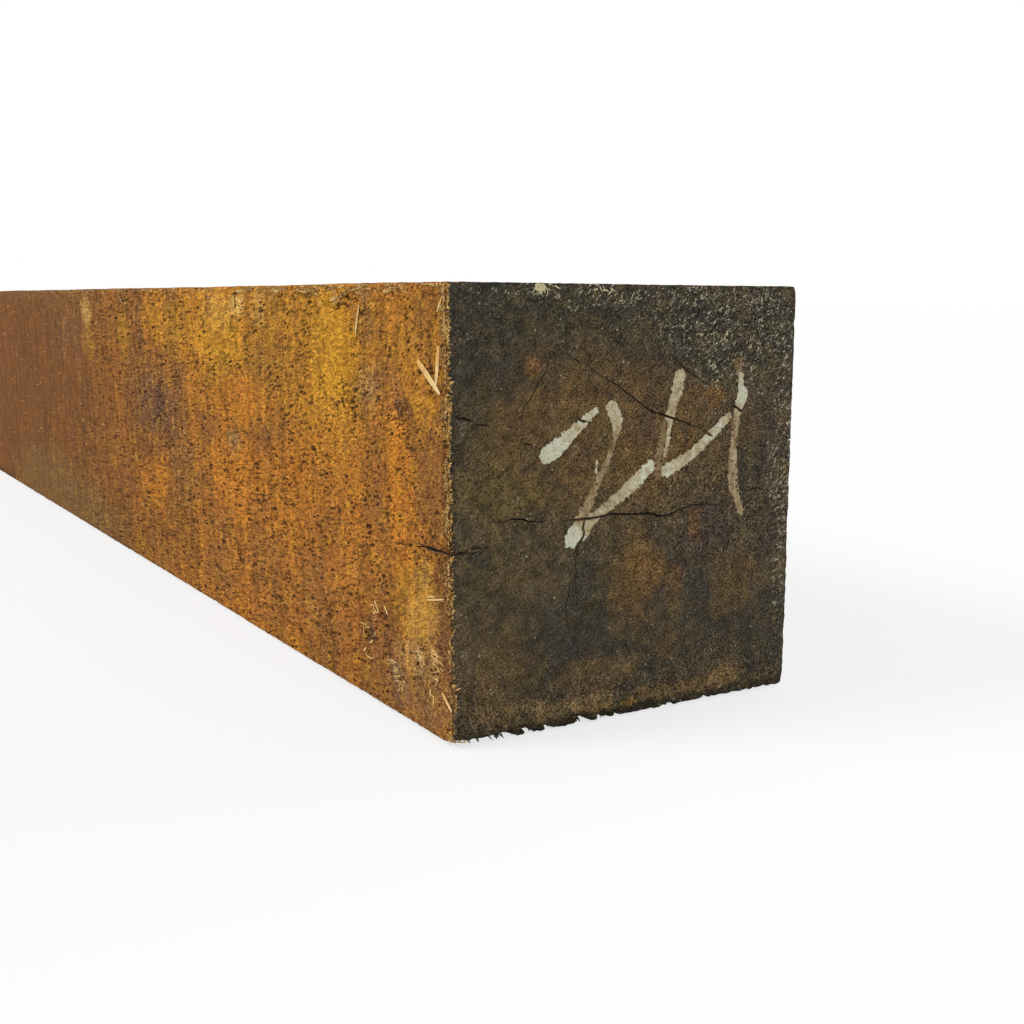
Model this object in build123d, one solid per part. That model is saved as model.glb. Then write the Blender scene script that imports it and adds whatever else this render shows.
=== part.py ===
# A rough-sawn hardwood post, 125 x 125 mm nominal and 2.4 m long, sawn from one log as one piece.
# +X runs along the post to its marked end, the long side that is seen faces -Y, and +Z is up as it lies.
# The origin is under the middle of the post, on the level that it lies on.

from build123d import *
import os
from math import hypot, pi, sin

# The stick of timber, in millimetres
post_length = 2400.0
post_width = 122.0           # across the head of the section, after drying
post_height = 125.0
seen_side_lean = 1.7         # the saw wandered, so the seen side's foot stands in this far from its head
end_run_out = 1.1            # the marked end was docked out of square, so its head stops this far short
arris_wear = 1.0             # handling has rounded the four long arrises

# The seen side's bottom corner broke off at the marked end, over these lengths of its three edges
broken_back = 8.0
broken_across = 14.0
broken_up = 2.8

# The docking saw tore nicks out of the marked end's foot: how far back each runs, and its outline on the end.
# An outline's points are (across, as a share of the width, and up, in millimetres), from foot to foot.
foot_nicks = [
    (22.0, [(0.050, 0.0), (0.063, 1.8), (0.090, 1.55), (0.118, 1.75), (0.160, 2.1), (0.188, 0.0)]),
    (20.0, [(0.210, 0.0), (0.195, 2.0), (0.206, 2.1), (0.232, 0.0)]),
    (16.0, [(0.261, 0.0), (0.256, 1.8), (0.273, 1.0), (0.279, 0.0)]),
    (16.0, [(0.322, 0.0), (0.344, 0.55), (0.359, 1.6), (0.373, 1.5), (0.387, 0.0)]),
    (14.0, [(0.413, 0.0), (0.406, 1.4), (0.411, 1.4), (0.422, 0.0)]),
    (15.0, [(0.431, 0.0), (0.426, 1.6), (0.431, 1.6), (0.441, 0.0)]),
    (15.0, [(0.461, 0.0), (0.456, 1.6), (0.461, 1.6), (0.474, 0.0)]),
    (14.0, [(0.612, 0.0), (0.622, 1.4), (0.640, 0.0)]),
    (12.0, [(0.718, 0.0), (0.734, 1.2), (0.755, 0.0)]),
]
nick_dip = 0.2               # how far below the foot each nick runs to its inner end

# A drying check is open at the face, and closes as it runs in and towards its two tips
tip_width = 0.12             # the crack's width at its tips and along its root
root_share = 0.7             # the root's length, as a share of the mouth's
cutter_proud = 3.0           # how far each cutter starts outside the faces that it opens

# The checks of the marked end: each mouth's greatest width, the depth, and the crooked path over the face.
# A path's points are (across from the seen side, up from the foot), as shares of the width and the height.
end_checks = {
    "heart, near part": (0.5, 20.0, [
        (0.118, 0.490), (0.148, 0.489), (0.165, 0.493), (0.200, 0.489), (0.211, 0.483), (0.236, 0.481),
        (0.260, 0.479)]),
    "heart": (0.55, 42.0, [
        (0.288, 0.478), (0.337, 0.478), (0.370, 0.477), (0.412, 0.478), (0.432, 0.483), (0.485, 0.478),
        (0.515, 0.476), (0.559, 0.474), (0.577, 0.467), (0.599, 0.464), (0.622, 0.469), (0.650, 0.478),
        (0.680, 0.485), (0.733, 0.484), (0.762, 0.478), (0.801, 0.493)]),
    "heart, far part": (0.35, 18.0, [
        (0.820, 0.510), (0.859, 0.508), (0.892, 0.511), (0.920, 0.504)]),
    "seen side, upper": (0.6, 18.0, [
        (0.018, 0.724), (0.036, 0.715), (0.047, 0.717), (0.057, 0.712), (0.071, 0.708)]),
    "seen side, upper, far part": (0.4, 12.0, [
        (0.075, 0.703), (0.090, 0.700), (0.104, 0.700), (0.114, 0.693)]),
    "seen side, lower": (0.6, 26.0, [
        (-0.050, 0.430), (0.012, 0.429), (0.039, 0.431), (0.058, 0.433), (0.074, 0.438), (0.093, 0.436),
        (0.108, 0.436)]),
    "slanting, near tip": (0.4, 12.0, [
        (0.316, 0.845), (0.335, 0.833), (0.355, 0.822)]),
    "slanting": (0.42, 30.0, [
        (0.369, 0.817), (0.396, 0.801), (0.420, 0.790), (0.455, 0.773), (0.463, 0.766), (0.494, 0.748),
        (0.513, 0.735), (0.553, 0.711), (0.593, 0.701), (0.611, 0.695), (0.660, 0.680), (0.678, 0.672),
        (0.699, 0.668), (0.720, 0.657), (0.747, 0.643)]),
    "slanting, upper": (0.42, 20.0, [
        (0.597, 0.846), (0.609, 0.838), (0.629, 0.824), (0.652, 0.807), (0.698, 0.780), (0.727, 0.766)]),
    "slanting, far part": (0.45, 12.0, [
        (0.793, 0.717), (0.813, 0.712), (0.832, 0.701), (0.845, 0.697)]),
    "far side": (0.45, 14.0, [
        (0.956, 0.647), (0.988, 0.629), (1.040, 0.603)]),
    "upright": (0.36, 24.0, [
        (0.365, 0.475), (0.358, 0.456), (0.364, 0.449), (0.359, 0.437), (0.344, 0.420), (0.340, 0.373),
        (0.343, 0.359), (0.340, 0.345), (0.324, 0.332), (0.322, 0.305), (0.312, 0.286), (0.315, 0.259),
        (0.326, 0.206)]),
    "ring": (0.36, 16.0, [
        (0.291, 0.868), (0.283, 0.852), (0.269, 0.841), (0.254, 0.806), (0.241, 0.792), (0.226, 0.768),
        (0.213, 0.746), (0.196, 0.731), (0.190, 0.706), (0.191, 0.681)]),
    "ring, foot": (0.3, 10.0, [
        (0.191, 0.658), (0.213, 0.653), (0.243, 0.641)]),
    "short, upper": (0.34, 10.0, [
        (0.338, 0.709), (0.354, 0.698), (0.377, 0.693)]),
}

# The lower check of the seen side comes round the arris and runs back along that side, in two parts.
# Their points are (back from the marked end, up from the foot), as shares of the height.
side_checks = {
    "near part": (0.6, 11.0, [
        (-0.050, 0.430), (0.008, 0.427), (0.027, 0.429), (0.047, 0.429), (0.073, 0.426), (0.108, 0.426),
        (0.132, 0.427), (0.157, 0.423), (0.182, 0.418)]),
    "back part": (0.4, 6.0, [
        (0.201, 0.415), (0.233, 0.415), (0.266, 0.417)]),
}


def marked_end_face():
    """The plane of the marked end's foot: its X runs across from the seen side, and its Y up."""
    return Plane(origin=(post_length / 2, -post_width / 2, 0), x_dir=(0, 1, 0), z_dir=(1, 0, 0))


def sawn_stick():
    """The section as the saw left it, run to the full length, with its long arrises worn."""
    half_width = post_width / 2
    corners = [
        (-half_width, post_height),
        (half_width, post_height),
        (half_width, 0),
        (seen_side_lean - half_width, 0),
    ]
    section = make_face(Polyline(*corners, close=True))
    section = fillet(section.vertices(), arris_wear)
    hidden_end = Plane(origin=(-post_length / 2, 0, 0), x_dir=(0, 1, 0), z_dir=(1, 0, 0))
    return extrude(hidden_end * section, post_length)


def docked(stick):
    """The stick with its marked end docked out of square: its foot keeps the full length."""
    cut = Plane(origin=(post_length / 2, 0, 0), x_dir=(0, 1, 0), z_dir=(post_height, 0, end_run_out))
    return split(stick, bisect_by=cut, keep=Keep.BOTTOM)


def corner_broken(stick):
    """The stick without the chip that broke off the seen side's bottom corner at the marked end."""
    start = (post_length / 2 - broken_back, seen_side_lean - post_width / 2, 0)
    break_plane = Plane(origin=start, z_dir=(1 / broken_back, -1 / broken_across, -1 / broken_up))
    return split(stick, bisect_by=break_plane, keep=Keep.BOTTOM)


def torn_nick(face, outline, back):
    """The void of one nick: it runs back from outside the end, narrowing to a point just below the foot."""
    left, right = outline[0][0], outline[-1][0]
    places = [(left, -cutter_proud), *outline, (right, -cutter_proud)]
    point = face.from_local_coords(((left + right) / 2, -nick_dip, -back))
    spread = (back + cutter_proud) / back
    ring = [point + (face.from_local_coords((*place, 0)) - point) * spread for place in places]
    walls = [Face(Wire.make_polygon(ring))]
    for i in range(len(ring)):
        walls.append(Face(Wire.make_polygon([ring[i - 1], ring[i], point])))
    return Solid(Shell(walls))


def foot_torn(stick):
    """The stick with the nicks that the docking saw tore out of the marked end's foot."""
    for back, outline in foot_nicks:
        places = [(across * post_width, up) for across, up in outline]
        stick -= torn_nick(marked_end_face(), places, back)
    return stick


def crack_outline(face, path, middle_width, height):
    """The thin lens that a crooked crack makes: widest at its middle, closing to its two tips."""
    steps = [hypot(b[0] - a[0], b[1] - a[1]) for a, b in zip(path, path[1:])]
    upper = []
    lower = []
    for i, (along, up) in enumerate(path):
        before = path[max(i - 1, 0)]
        after = path[min(i + 1, len(path) - 1)]
        heading = Vector(after[0] - before[0], after[1] - before[1]).normalized()
        opening = tip_width + (middle_width - tip_width) * sin(pi * sum(steps[:i]) / sum(steps))
        off = Vector(-heading.Y, heading.X) * opening / 2
        upper.append(face.from_local_coords((along + off.X, up + off.Y, height)))
        lower.append(face.from_local_coords((along - off.X, up - off.Y, height)))
    return upper + lower[::-1]


def drying_check(face, path, mouth, depth):
    """The void of one check: a wedge from outside the face down to a shorter, tight root."""
    middle = [sum(place) / len(path) for place in zip(*path)]
    root_path = [[m + (p - m) * root_share for p, m in zip(point, middle)] for point in path]
    proud_width = mouth + (mouth - tip_width) * cutter_proud / depth
    mouth_ring = crack_outline(face, path, proud_width, cutter_proud)
    root_ring = crack_outline(face, root_path, tip_width, -depth)
    walls = [Face(Wire.make_polygon(mouth_ring)), Face(Wire.make_polygon(root_ring))]
    for i in range(len(mouth_ring)):
        top_a, top_b = mouth_ring[i - 1], mouth_ring[i]
        root_a, root_b = root_ring[i - 1], root_ring[i]
        walls.append(Face(Wire.make_polygon([top_a, top_b, root_b])))
        walls.append(Face(Wire.make_polygon([top_a, root_b, root_a])))
    return Solid(Shell(walls))


def checked(stick):
    """The stick with the checks of its marked end, and the one that comes round onto the seen side."""
    seen_face = Plane(origin=(post_length / 2, -post_width / 2, 0), x_dir=(1, 0, 0), z_dir=(0, -1, 0))
    for mouth, depth, shares in end_checks.values():
        path = [(across * post_width, up * post_height) for across, up in shares]
        stick -= drying_check(marked_end_face(), path, mouth, depth)
    for mouth, depth, shares in side_checks.values():
        path = [(-back * post_height, up * post_height) for back, up in shares]
        stick -= drying_check(seen_face, path, mouth, depth)
    return stick


post = checked(foot_torn(corner_broken(docked(sawn_stick()))))

os.makedirs("parts", exist_ok=True)
export_step(post, "parts/post.step")
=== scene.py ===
"""A rough-sawn hardwood post: torn saw faces, weathered end grain, frayed arrises and a brushed number."""

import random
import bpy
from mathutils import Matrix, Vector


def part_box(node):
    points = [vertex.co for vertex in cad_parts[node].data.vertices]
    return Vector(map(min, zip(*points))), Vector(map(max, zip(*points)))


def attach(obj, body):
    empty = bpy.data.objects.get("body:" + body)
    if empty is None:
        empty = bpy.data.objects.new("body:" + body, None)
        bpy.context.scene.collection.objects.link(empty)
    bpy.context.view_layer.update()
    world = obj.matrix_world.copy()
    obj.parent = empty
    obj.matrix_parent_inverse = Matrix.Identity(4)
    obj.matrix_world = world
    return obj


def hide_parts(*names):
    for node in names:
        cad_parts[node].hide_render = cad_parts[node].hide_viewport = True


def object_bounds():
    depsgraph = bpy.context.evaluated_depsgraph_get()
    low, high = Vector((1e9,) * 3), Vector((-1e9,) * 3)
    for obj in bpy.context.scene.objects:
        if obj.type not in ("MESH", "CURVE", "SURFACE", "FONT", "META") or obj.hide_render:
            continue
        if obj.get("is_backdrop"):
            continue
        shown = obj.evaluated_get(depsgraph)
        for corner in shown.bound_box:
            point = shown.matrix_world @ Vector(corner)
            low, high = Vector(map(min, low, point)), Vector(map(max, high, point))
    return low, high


bl_info = {
    "name": "Hardwood post",
    "version": (1, 0, 0),
    "blender": (4, 5, 0),
    "location": "View3D > Sidebar > Post",
    "description": "Saws, weathers, frays and marks a hardwood post around its solid",
    "category": "Object",
}

from math import cos, e, pi, radians, sin

import bmesh
import bpy
from mathutils import Euler, Matrix, Vector, noise

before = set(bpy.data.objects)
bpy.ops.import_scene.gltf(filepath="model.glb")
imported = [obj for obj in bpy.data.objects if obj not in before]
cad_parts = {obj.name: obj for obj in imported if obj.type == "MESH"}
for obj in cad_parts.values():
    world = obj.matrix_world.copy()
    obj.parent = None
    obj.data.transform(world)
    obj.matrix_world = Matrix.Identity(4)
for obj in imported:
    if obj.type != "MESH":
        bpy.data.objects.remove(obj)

MM = 0.001
SOLID_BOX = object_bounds()
LOW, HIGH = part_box("post")
LENGTH, WIDTH, HEIGHT = HIGH - LOW
LEAN = 1.7 * MM         # the seen side's foot stands in this far from its head
RUN_OUT = 1.1 * MM      # the marked end's head stops this far short of its foot
PITH = Vector((0, LOW.y + 132 * MM, 58 * MM))   # the log's centre ran just outside the hidden side
SLACK = 0.03 * MM       # how far the dressed timber keeps inside the solid
CORE = Vector((5, 5, 5)) * MM   # how far inside the faces lies the core that the relief sinks towards


def on_end(across, up, proud=0.0):
    """A place on the marked end, in mm: across from the seen side and up from the foot."""
    return Vector((HIGH.x - RUN_OUT * up * MM / HEIGHT + proud * MM, LOW.y + across * MM, up * MM))


def on_side(back, up, proud=0.0):
    """A place on the seen side, in mm: back from the marked end and up from the foot."""
    lean = LEAN * (1 - up * MM / HEIGHT)
    return Vector((HIGH.x - back * MM, LOW.y + lean - proud * MM, up * MM))


def linear(hex_colour):
    """An sRGB hex colour as the linear one that the shaders take."""
    parts = [int(hex_colour[i:i + 2], 16) / 255 for i in (1, 3, 5)]
    return tuple(c / 12.92 if c <= 0.04045 else ((c + 0.055) / 1.055) ** 2.4 for c in parts) + (1.0,)


def add_node(tree, kind, inputs=(), out=0, **settings):
    """Adds one node with its settings, inputs and links, and returns the socket that it gives."""
    node = tree.nodes.new(kind if kind.startswith("Geometry") else "ShaderNode" + kind)
    for name, value in settings.items():
        setattr(node, name, value)
    for key, value in (inputs.items() if isinstance(inputs, dict) else enumerate(inputs)):
        if isinstance(value, bpy.types.NodeSocket):
            tree.links.new(value, node.inputs[key])
        else:
            node.inputs[key].default_value = value
    return node.outputs[out]


def length_property(name, description, size):
    """A length that a user may change, in metres."""
    return bpy.props.FloatProperty(
        name=name, description=description, default=size, unit="LENGTH", subtype="DISTANCE", precision=5)


def colour_property(name, description, hex_colour):
    """A colour that a user may change, from its sRGB hex value."""
    return bpy.props.FloatVectorProperty(
        name=name, description=description, default=linear(hex_colour), size=4, min=0, max=1, subtype="COLOR")


class PostSizes(bpy.types.PropertyGroup):
    """The depths and thicknesses of what the saw, the weather and the brush left"""
    side_relief: length_property("Side relief", "How deep the saw tore the long sides", 0.55 * MM)
    end_relief: length_property("End relief", "How rough the docked ends are", 0.35 * MM)
    chip_depth: length_property("Chip depth", "How far the ends' arrises are chipped", 1.3 * MM)
    arris_wear: length_property("Arris wear", "How far handling has rounded the long arrises", 0.6 * MM)
    paint_thickness: length_property("Paint thickness", "How thick the brushed number lies", 0.06 * MM)


class PostColours(bpy.types.PropertyGroup):
    """The colours that the finishes are mixed from"""
    orange_brown: colour_property("Orange brown", "Fresh heartwood of the sawn sides", "#ba762a")
    ochre: colour_property("Ochre", "Yellow runs down the sawn sides", "#c08a2a")
    straw: colour_property("Straw", "Palest torn wood", "#cfa85f")
    dull_brown: colour_property("Dull brown", "Sawn wood that has started to weather", "#875a2e")
    red_brown: colour_property("Red brown", "Heartwood that has darkened in the air", "#6f482a")
    mauve_brown: colour_property("Mauve brown", "Bruised, tannin-stained wood", "#735037")
    bruise: colour_property("Bruise", "Darkest purple bruises", "#4f3a34")
    grey_brown: colour_property("Grey brown", "Sawn wood silvered by damp", "#8a7455")
    olive_brown: colour_property("Olive brown", "Damp-stained foot of the sides", "#785a36")
    # pit_and_shade_brown darkens the pits, partly as painted shade, and is painted shade under fibres and
    # ridges
    pit_and_shade_brown: colour_property("Pit brown", "Bottoms of the torn pits", "#381f0e")
    end_brown: colour_property("End brown", "Weathered end grain", "#4b4131")
    end_charcoal: colour_property("End charcoal", "Darkest, blue-black end grain", "#37342a")
    end_warm: colour_property("End warm brown", "Less weathered heart of the end", "#634c2c")
    end_olive: colour_property("End olive", "Olive stain on the end", "#5b4b2c")
    end_orange: colour_property("End orange", "Flecks of fresh wood on the end", "#75522c")
    end_blue: colour_property("End blue", "Blue-black mould stain on the end", "#2f2f2b")
    end_purple: colour_property("End purple", "Tannin stain on the end", "#42352f")
    end_ochre: colour_property("End ochre", "Ochre lump in the crust", "#80602a")
    end_crust: colour_property("End crust", "Dried dirt and broken fibre along the end's foot", "#7a6340")
    # end_rim is also the painted shadow that the upright arris's fringe casts on the end
    end_rim: colour_property("End rim", "Dark torn edge of the end's foot", "#241e16")
    speck: colour_property("Speck", "Pale fibre ends in the end grain", "#bdb296")
    dust: colour_property("Dust", "Brown dust in the end grain", "#7d6b4c")
    # The near-black painted shade inside the drying checks and in the end's pores
    check_wall: colour_property("Check wall", "Inside of the drying checks", "#1d1610")
    fibre: colour_property("Fibre", "Torn fibres and splinters", "#c0954f")
    fibre_root: colour_property("Fibre root", "Darker, dirtier torn fibres", "#5a3717")
    wool_tip: colour_property("Wool tip", "Ends of the splinters and tufts, bleached by the sun", "#d8c898")
    head_fibre: colour_property("Head fibre", "Pale tufts along the end's head", "#b3a985")
    paint_white: colour_property("Paint white", "Number where the paint is thick", "#aeae97")
    paint_cream: colour_property("Paint cream", "Number where the paint is thin", "#9f9373")
    paint_tan: colour_property("Paint tan", "Number where the paint has worn", "#806a45")


def sizes():
    """The sizes as the user has them now."""
    return bpy.context.scene.post_sizes


def colours():
    """The colours as the user has them now."""
    return bpy.context.scene.post_colours


# Materials

def in_grains(tree, place, sizes_mm):
    """The place counted in grains of the given sizes along X, Y and Z."""
    per_metre = tuple(1 / (size * MM) for size in sizes_mm)
    return add_node(tree, "VectorMath", [place, per_metre], operation="MULTIPLY")


def wandering(tree, place, grain_mm, by_mm):
    """The place pushed about by noise, so that outlines drawn in it wander."""
    push = add_node(tree, "TexNoise", {
        "Vector": in_grains(tree, place, (grain_mm,) * 3), "Scale": 1.0, "Detail": 5.0, "Roughness": 0.65}, 1)
    centred = add_node(tree, "VectorMath", [push, (0.5, 0.5, 0.5)], operation="SUBTRACT")
    return add_node(tree, "VectorMath", [centred, (2 * by_mm * MM,) * 3, place], operation="MULTIPLY_ADD")


def drawn_out(tree, place):
    """The place with X squeezed more and more behind the marked end, so that tears grow longer there."""
    at = add_node(tree, "SeparateXYZ", [place]).node.outputs
    back = add_node(tree, "Math", [HIGH.x, at[0]], operation="SUBTRACT")
    near = add_node(tree, "Math", [back, TEARS_GROW_UNTIL], operation="MINIMUM")
    beyond = add_node(tree, "Math", [back, near], operation="SUBTRACT")
    share = add_node(tree, "Math", [near, 1 / TEARS_DOUBLE_AT, 1.0], operation="MULTIPLY_ADD")
    log = add_node(tree, "Math", [share, e], operation="LOGARITHM")
    squeeze = 1 / (1 + TEARS_GROW_UNTIL / TEARS_DOUBLE_AT)
    far_off = add_node(tree, "Math", [beyond, squeeze], operation="MULTIPLY")
    squeezed = add_node(tree, "Math", [log, TEARS_DOUBLE_AT, far_off], operation="MULTIPLY_ADD")
    return add_node(tree, "CombineXYZ", [squeezed, at[1], at[2]])


def lump(tree, place, centre, reach_mm, soft):
    """1 within a soft-edged lump about a place, and 0 outside its reach."""
    away = add_node(tree, "VectorMath", [place, centre], operation="SUBTRACT")
    far = add_node(tree, "VectorMath", [in_grains(tree, away, reach_mm)], out=1, operation="LENGTH")
    return add_node(tree, "MapRange", [far, 1 + soft / 2, 1 - soft / 2], interpolation_type="SMOOTHSTEP")


def patch(tree, place, on_face, first, up, reach, reach_up, soft):
    """1 within a soft-edged patch of a face, which goes a little way into the timber and round arrises."""
    reach_mm = (reach, STAIN_DEPTH, reach_up) if on_face is on_side else (STAIN_DEPTH, reach, reach_up)
    return lump(tree, place, on_face(first, up), reach_mm, soft)


def covered(tree, colour, mask, strength, other):
    """The colour with another laid over it through a mask, as strong as told."""
    amount = add_node(tree, "Math", [mask, strength], operation="MULTIPLY")
    return add_node(tree, "Mix", {0: amount, 6: colour, 7: other}, 2, data_type="RGBA")


def tinted(tree, colour, pattern, stretch, other):
    """The colour turned into another by a pattern: two values of the pattern, and the amount at each."""
    amount = add_node(tree, "MapRange", [pattern, *stretch])
    return add_node(tree, "Mix", {0: amount, 6: colour, 7: other}, 2, data_type="RGBA")


def shaded(tree, colour, pattern, stretch, amount=1.0, blend="MULTIPLY"):
    """The colour made darker and lighter by a pattern: two values of the pattern, and the shade at each."""
    shade = add_node(tree, "MapRange", [pattern, *stretch])
    return add_node(tree, "Mix", {0: amount, 6: colour, 7: shade}, 2, data_type="RGBA", blend_type=blend)


def stained_and_shaded(tree, colour, place, stains, on_face):
    """The colour with each stain or painted shade of a face laid over it, soft-edged and as strong as it
    says.
    """
    for name, first, up, reach, reach_up, soft, strength in stains:
        mask = patch(tree, place, on_face, first, up, reach, reach_up, soft)
        colour = covered(tree, colour, mask, strength, getattr(colours(), name))
    return colour


def weighed_up(tree, parts):
    """The sum of patterns, each times its weight."""
    total = 0.0
    for pattern, weight in parts:
        total = add_node(tree, "Math", [pattern, weight, total], operation="MULTIPLY_ADD")
    return total


def scattered(tree, place, sizes_mm, share, widest=0.42, softness=0.12):
    """Holes or flecks, one in each grain that a throw of the dice picks: 1 inside and 0 outside."""
    middle = add_node(tree, "TexVoronoi", {"Vector": in_grains(tree, place, sizes_mm), "Scale": 1.0})
    dice = add_node(tree, "SeparateColor", [middle.node.outputs["Color"]])
    radius = add_node(tree, "MapRange", [dice, 1 - share, 1.0, -softness, widest])
    inside = add_node(tree, "Math", [radius, middle], operation="SUBTRACT")
    return add_node(tree, "MapRange", [inside, 0.0, softness], interpolation_type="SMOOTHSTEP")


def new_material(name):
    """A material with no nodes yet but the place in the post's frame that its patterns start from."""
    material = bpy.data.materials.new(name)
    material.use_nodes = True
    material.node_tree.nodes.clear()
    return material, material.node_tree, add_node(material.node_tree, "TexCoord", out=3)


def surfaced(material, colour, roughness, specular=0.5, relief=None, relief_mm=1.0, strength=1.0):
    """The material with its colour and sheen, and with the relief that its bump stands for."""
    tree = material.node_tree
    shader = tree.nodes.new("ShaderNodeBsdfPrincipled")
    tree.links.new(shader.outputs[0], tree.nodes.new("ShaderNodeOutputMaterial").inputs["Surface"])
    tree.links.new(colour, shader.inputs["Base Color"])
    shader.inputs["Roughness"].default_value = roughness
    shader.inputs["Specular IOR Level"].default_value = specular
    if relief:
        bump = add_node(tree, "Bump", {"Height": relief, "Distance": relief_mm * MM, "Strength": strength})
        tree.links.new(bump, shader.inputs["Normal"])
    return material


# Broad stains of the seen side: colour, back and up of the middle, reach back and up, softness and strength
SIDE_STAINS = [
    ("red_brown", 560, 70, 270, 110, 1.2, 0.95),
    ("mauve_brown", 426, 102, 44, 14, 1.2, 0.50),
    ("olive_brown", 500, 120, 100, 4, 0.9, 0.60),
    ("olive_brown", 480, 8, 120, 24, 0.9, 0.80),
    ("olive_brown", 400, 4, 70, 18, 0.9, 0.55),
    ("dull_brown", 342, 112, 24, 8, 0.8, 0.60),
    ("dull_brown", 283, 113, 10, 5, 0.9, 0.60),
    ("ochre", 233, 108, 38, 12, 0.9, 0.55),
    ("ochre", 125, 106, 95, 24, 1.4, 0.40),
    ("ochre", 178, 104, 22, 18, 1.1, 0.85),
    ("dull_brown", 267, 94, 27, 7, 0.9, 0.60),
    ("mauve_brown", 263, 73, 30, 16, 1.2, 0.85),
    ("dull_brown", 206, 75, 25, 13, 0.9, 0.25),
    ("dull_brown", 183, 91, 22, 7, 1.0, 0.55),
    ("orange_brown", 162, 86, 34, 8, 1.2, 0.90),
    ("orange_brown", 275, 38, 20, 9, 0.9, 0.80),
    ("orange_brown", 165, 57, 34, 11, 0.9, 0.80),
    ("olive_brown", 227, 47, 17, 13, 0.9, 0.45),
    ("ochre", 74, 106, 16, 20, 1.1, 0.90),
    ("ochre", 78, 86, 20, 14, 1.3, 0.60),
    ("ochre", 14, 106, 13, 14, 1.2, 0.35),
    ("dull_brown", 14, 112, 12, 10, 0.9, 0.40),
    ("orange_brown", 90, 68, 26, 14, 0.9, 0.55),
    ("orange_brown", 63, 40, 34, 17, 0.9, 0.55),
    ("orange_brown", 112, 52, 32, 14, 1.0, 0.50),
    ("pit_and_shade_brown", 112, 52, 32, 14, 1.0, 0.10),
    ("pit_and_shade_brown", 178, 89, 22, 7, 1.0, 0.08),
    ("dull_brown", 11, 74, 11, 13, 0.9, 0.50),
    ("mauve_brown", 12, 76, 14, 18, 1.2, 0.30),
    ("mauve_brown", 22, 14, 40, 24, 1.4, 0.35),
    ("mauve_brown", 55, 34, 50, 26, 1.4, 0.22),
    ("ochre", 22, 35, 11, 12, 1.2, 0.50),
    ("dull_brown", 163, 22, 70, 16, 0.9, 0.40),
]
# Small stains of the seen side, and painted shade under fibres, splinters and ridges, told in the same way
SIDE_SPOTS = [
    ("straw", 178, 116, 17, 7, 1.2, 0.25),
    ("straw", 157, 118, 7, 4, 0.9, 0.75),
    ("straw", 380, 114, 10, 7, 0.9, 0.60),
    ("ochre", 380, 98, 12, 9, 0.9, 0.30),
    ("ochre", 312, 104, 9, 11, 0.9, 0.45),
    ("straw", 136, 118, 6, 7, 0.9, 0.30),
    ("olive_brown", 51, 114, 7, 9, 0.9, 0.35),
    ("grey_brown", 49, 95, 8, 6, 1.2, 0.40),
    ("mauve_brown", 35, 97, 9, 8, 0.9, 0.45),
    ("bruise", 27, 91, 4.5, 3.2, 0.9, 0.75),
    ("ochre", 15, 91, 7, 5, 1.2, 0.45),
    ("grey_brown", 167, 68, 8, 4, 1.2, 0.45),
    ("mauve_brown", 4, 34, 4.5, 13, 1.2, 0.60),
    # Painted shade under the fibres along the upright arris
    ("pit_and_shade_brown", 1.0, 88, 3.6, 44, 0.9, 0.55),
    ("grey_brown", 34, 13, 3.5, 3.5, 1.0, 0.55),
    ("grey_brown", 30, 8, 3.0, 3.5, 1.0, 0.45),
    ("bruise", 32, 5.5, 5, 4, 1.0, 0.40),
    ("bruise", 52.5, 20, 2.6, 2.2, 0.8, 0.85),
    ("grey_brown", 53.5, 22.5, 2.0, 1.5, 0.9, 0.60),
    ("straw", 22, 20, 11, 5, 0.9, 0.30),
    ("straw", 16, 45, 5, 4, 0.9, 0.30),
    ("straw", 18, 32, 10, 9, 1.2, 0.25),
    ("grey_brown", 18, 12, 17, 11, 1.2, 0.28),
    # Painted shadow between the arms of the splinter V
    ("pit_and_shade_brown", 10.0, 101, 1.2, 3.6, 0.9, 0.70),
    # Painted shade under the torn ridges of the top arris
    ("pit_and_shade_brown", 67, 118.2, 7, 0.7, 0.7, 0.75),
    ("pit_and_shade_brown", 92, 121.6, 6, 0.6, 0.7, 0.65),
    ("pit_and_shade_brown", 57, 122.4, 5, 0.6, 0.7, 0.65),
    # Painted shade in the gap of a torn flap by the arris
    ("pit_and_shade_brown", 6.4, 118, 0.7, 4.0, 0.9, 0.60),
    ("bruise", 262, 76, 18, 10, 1.2, 0.50),
]
# Patches of the seen side that tore clean, without pits: back and up of the middle, and reach back and up
CLEAN_PATCHES = [(74, 108, 12, 12), (160, 87, 28, 7), (15, 91, 8, 5), (178, 112, 12, 12), (430, 95, 50, 26),
                 (620, 60, 250, 110), (18, 34, 14, 10)]
STAIN_DEPTH = 24    # how far a face's stain reaches into the timber and round its arrises, in mm
TEARS_DOUBLE_AT = 130 * MM      # the saw's tears are twice as long this far behind the marked end
TEARS_GROW_UNTIL = 500 * MM     # and grow no longer beyond here


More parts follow.
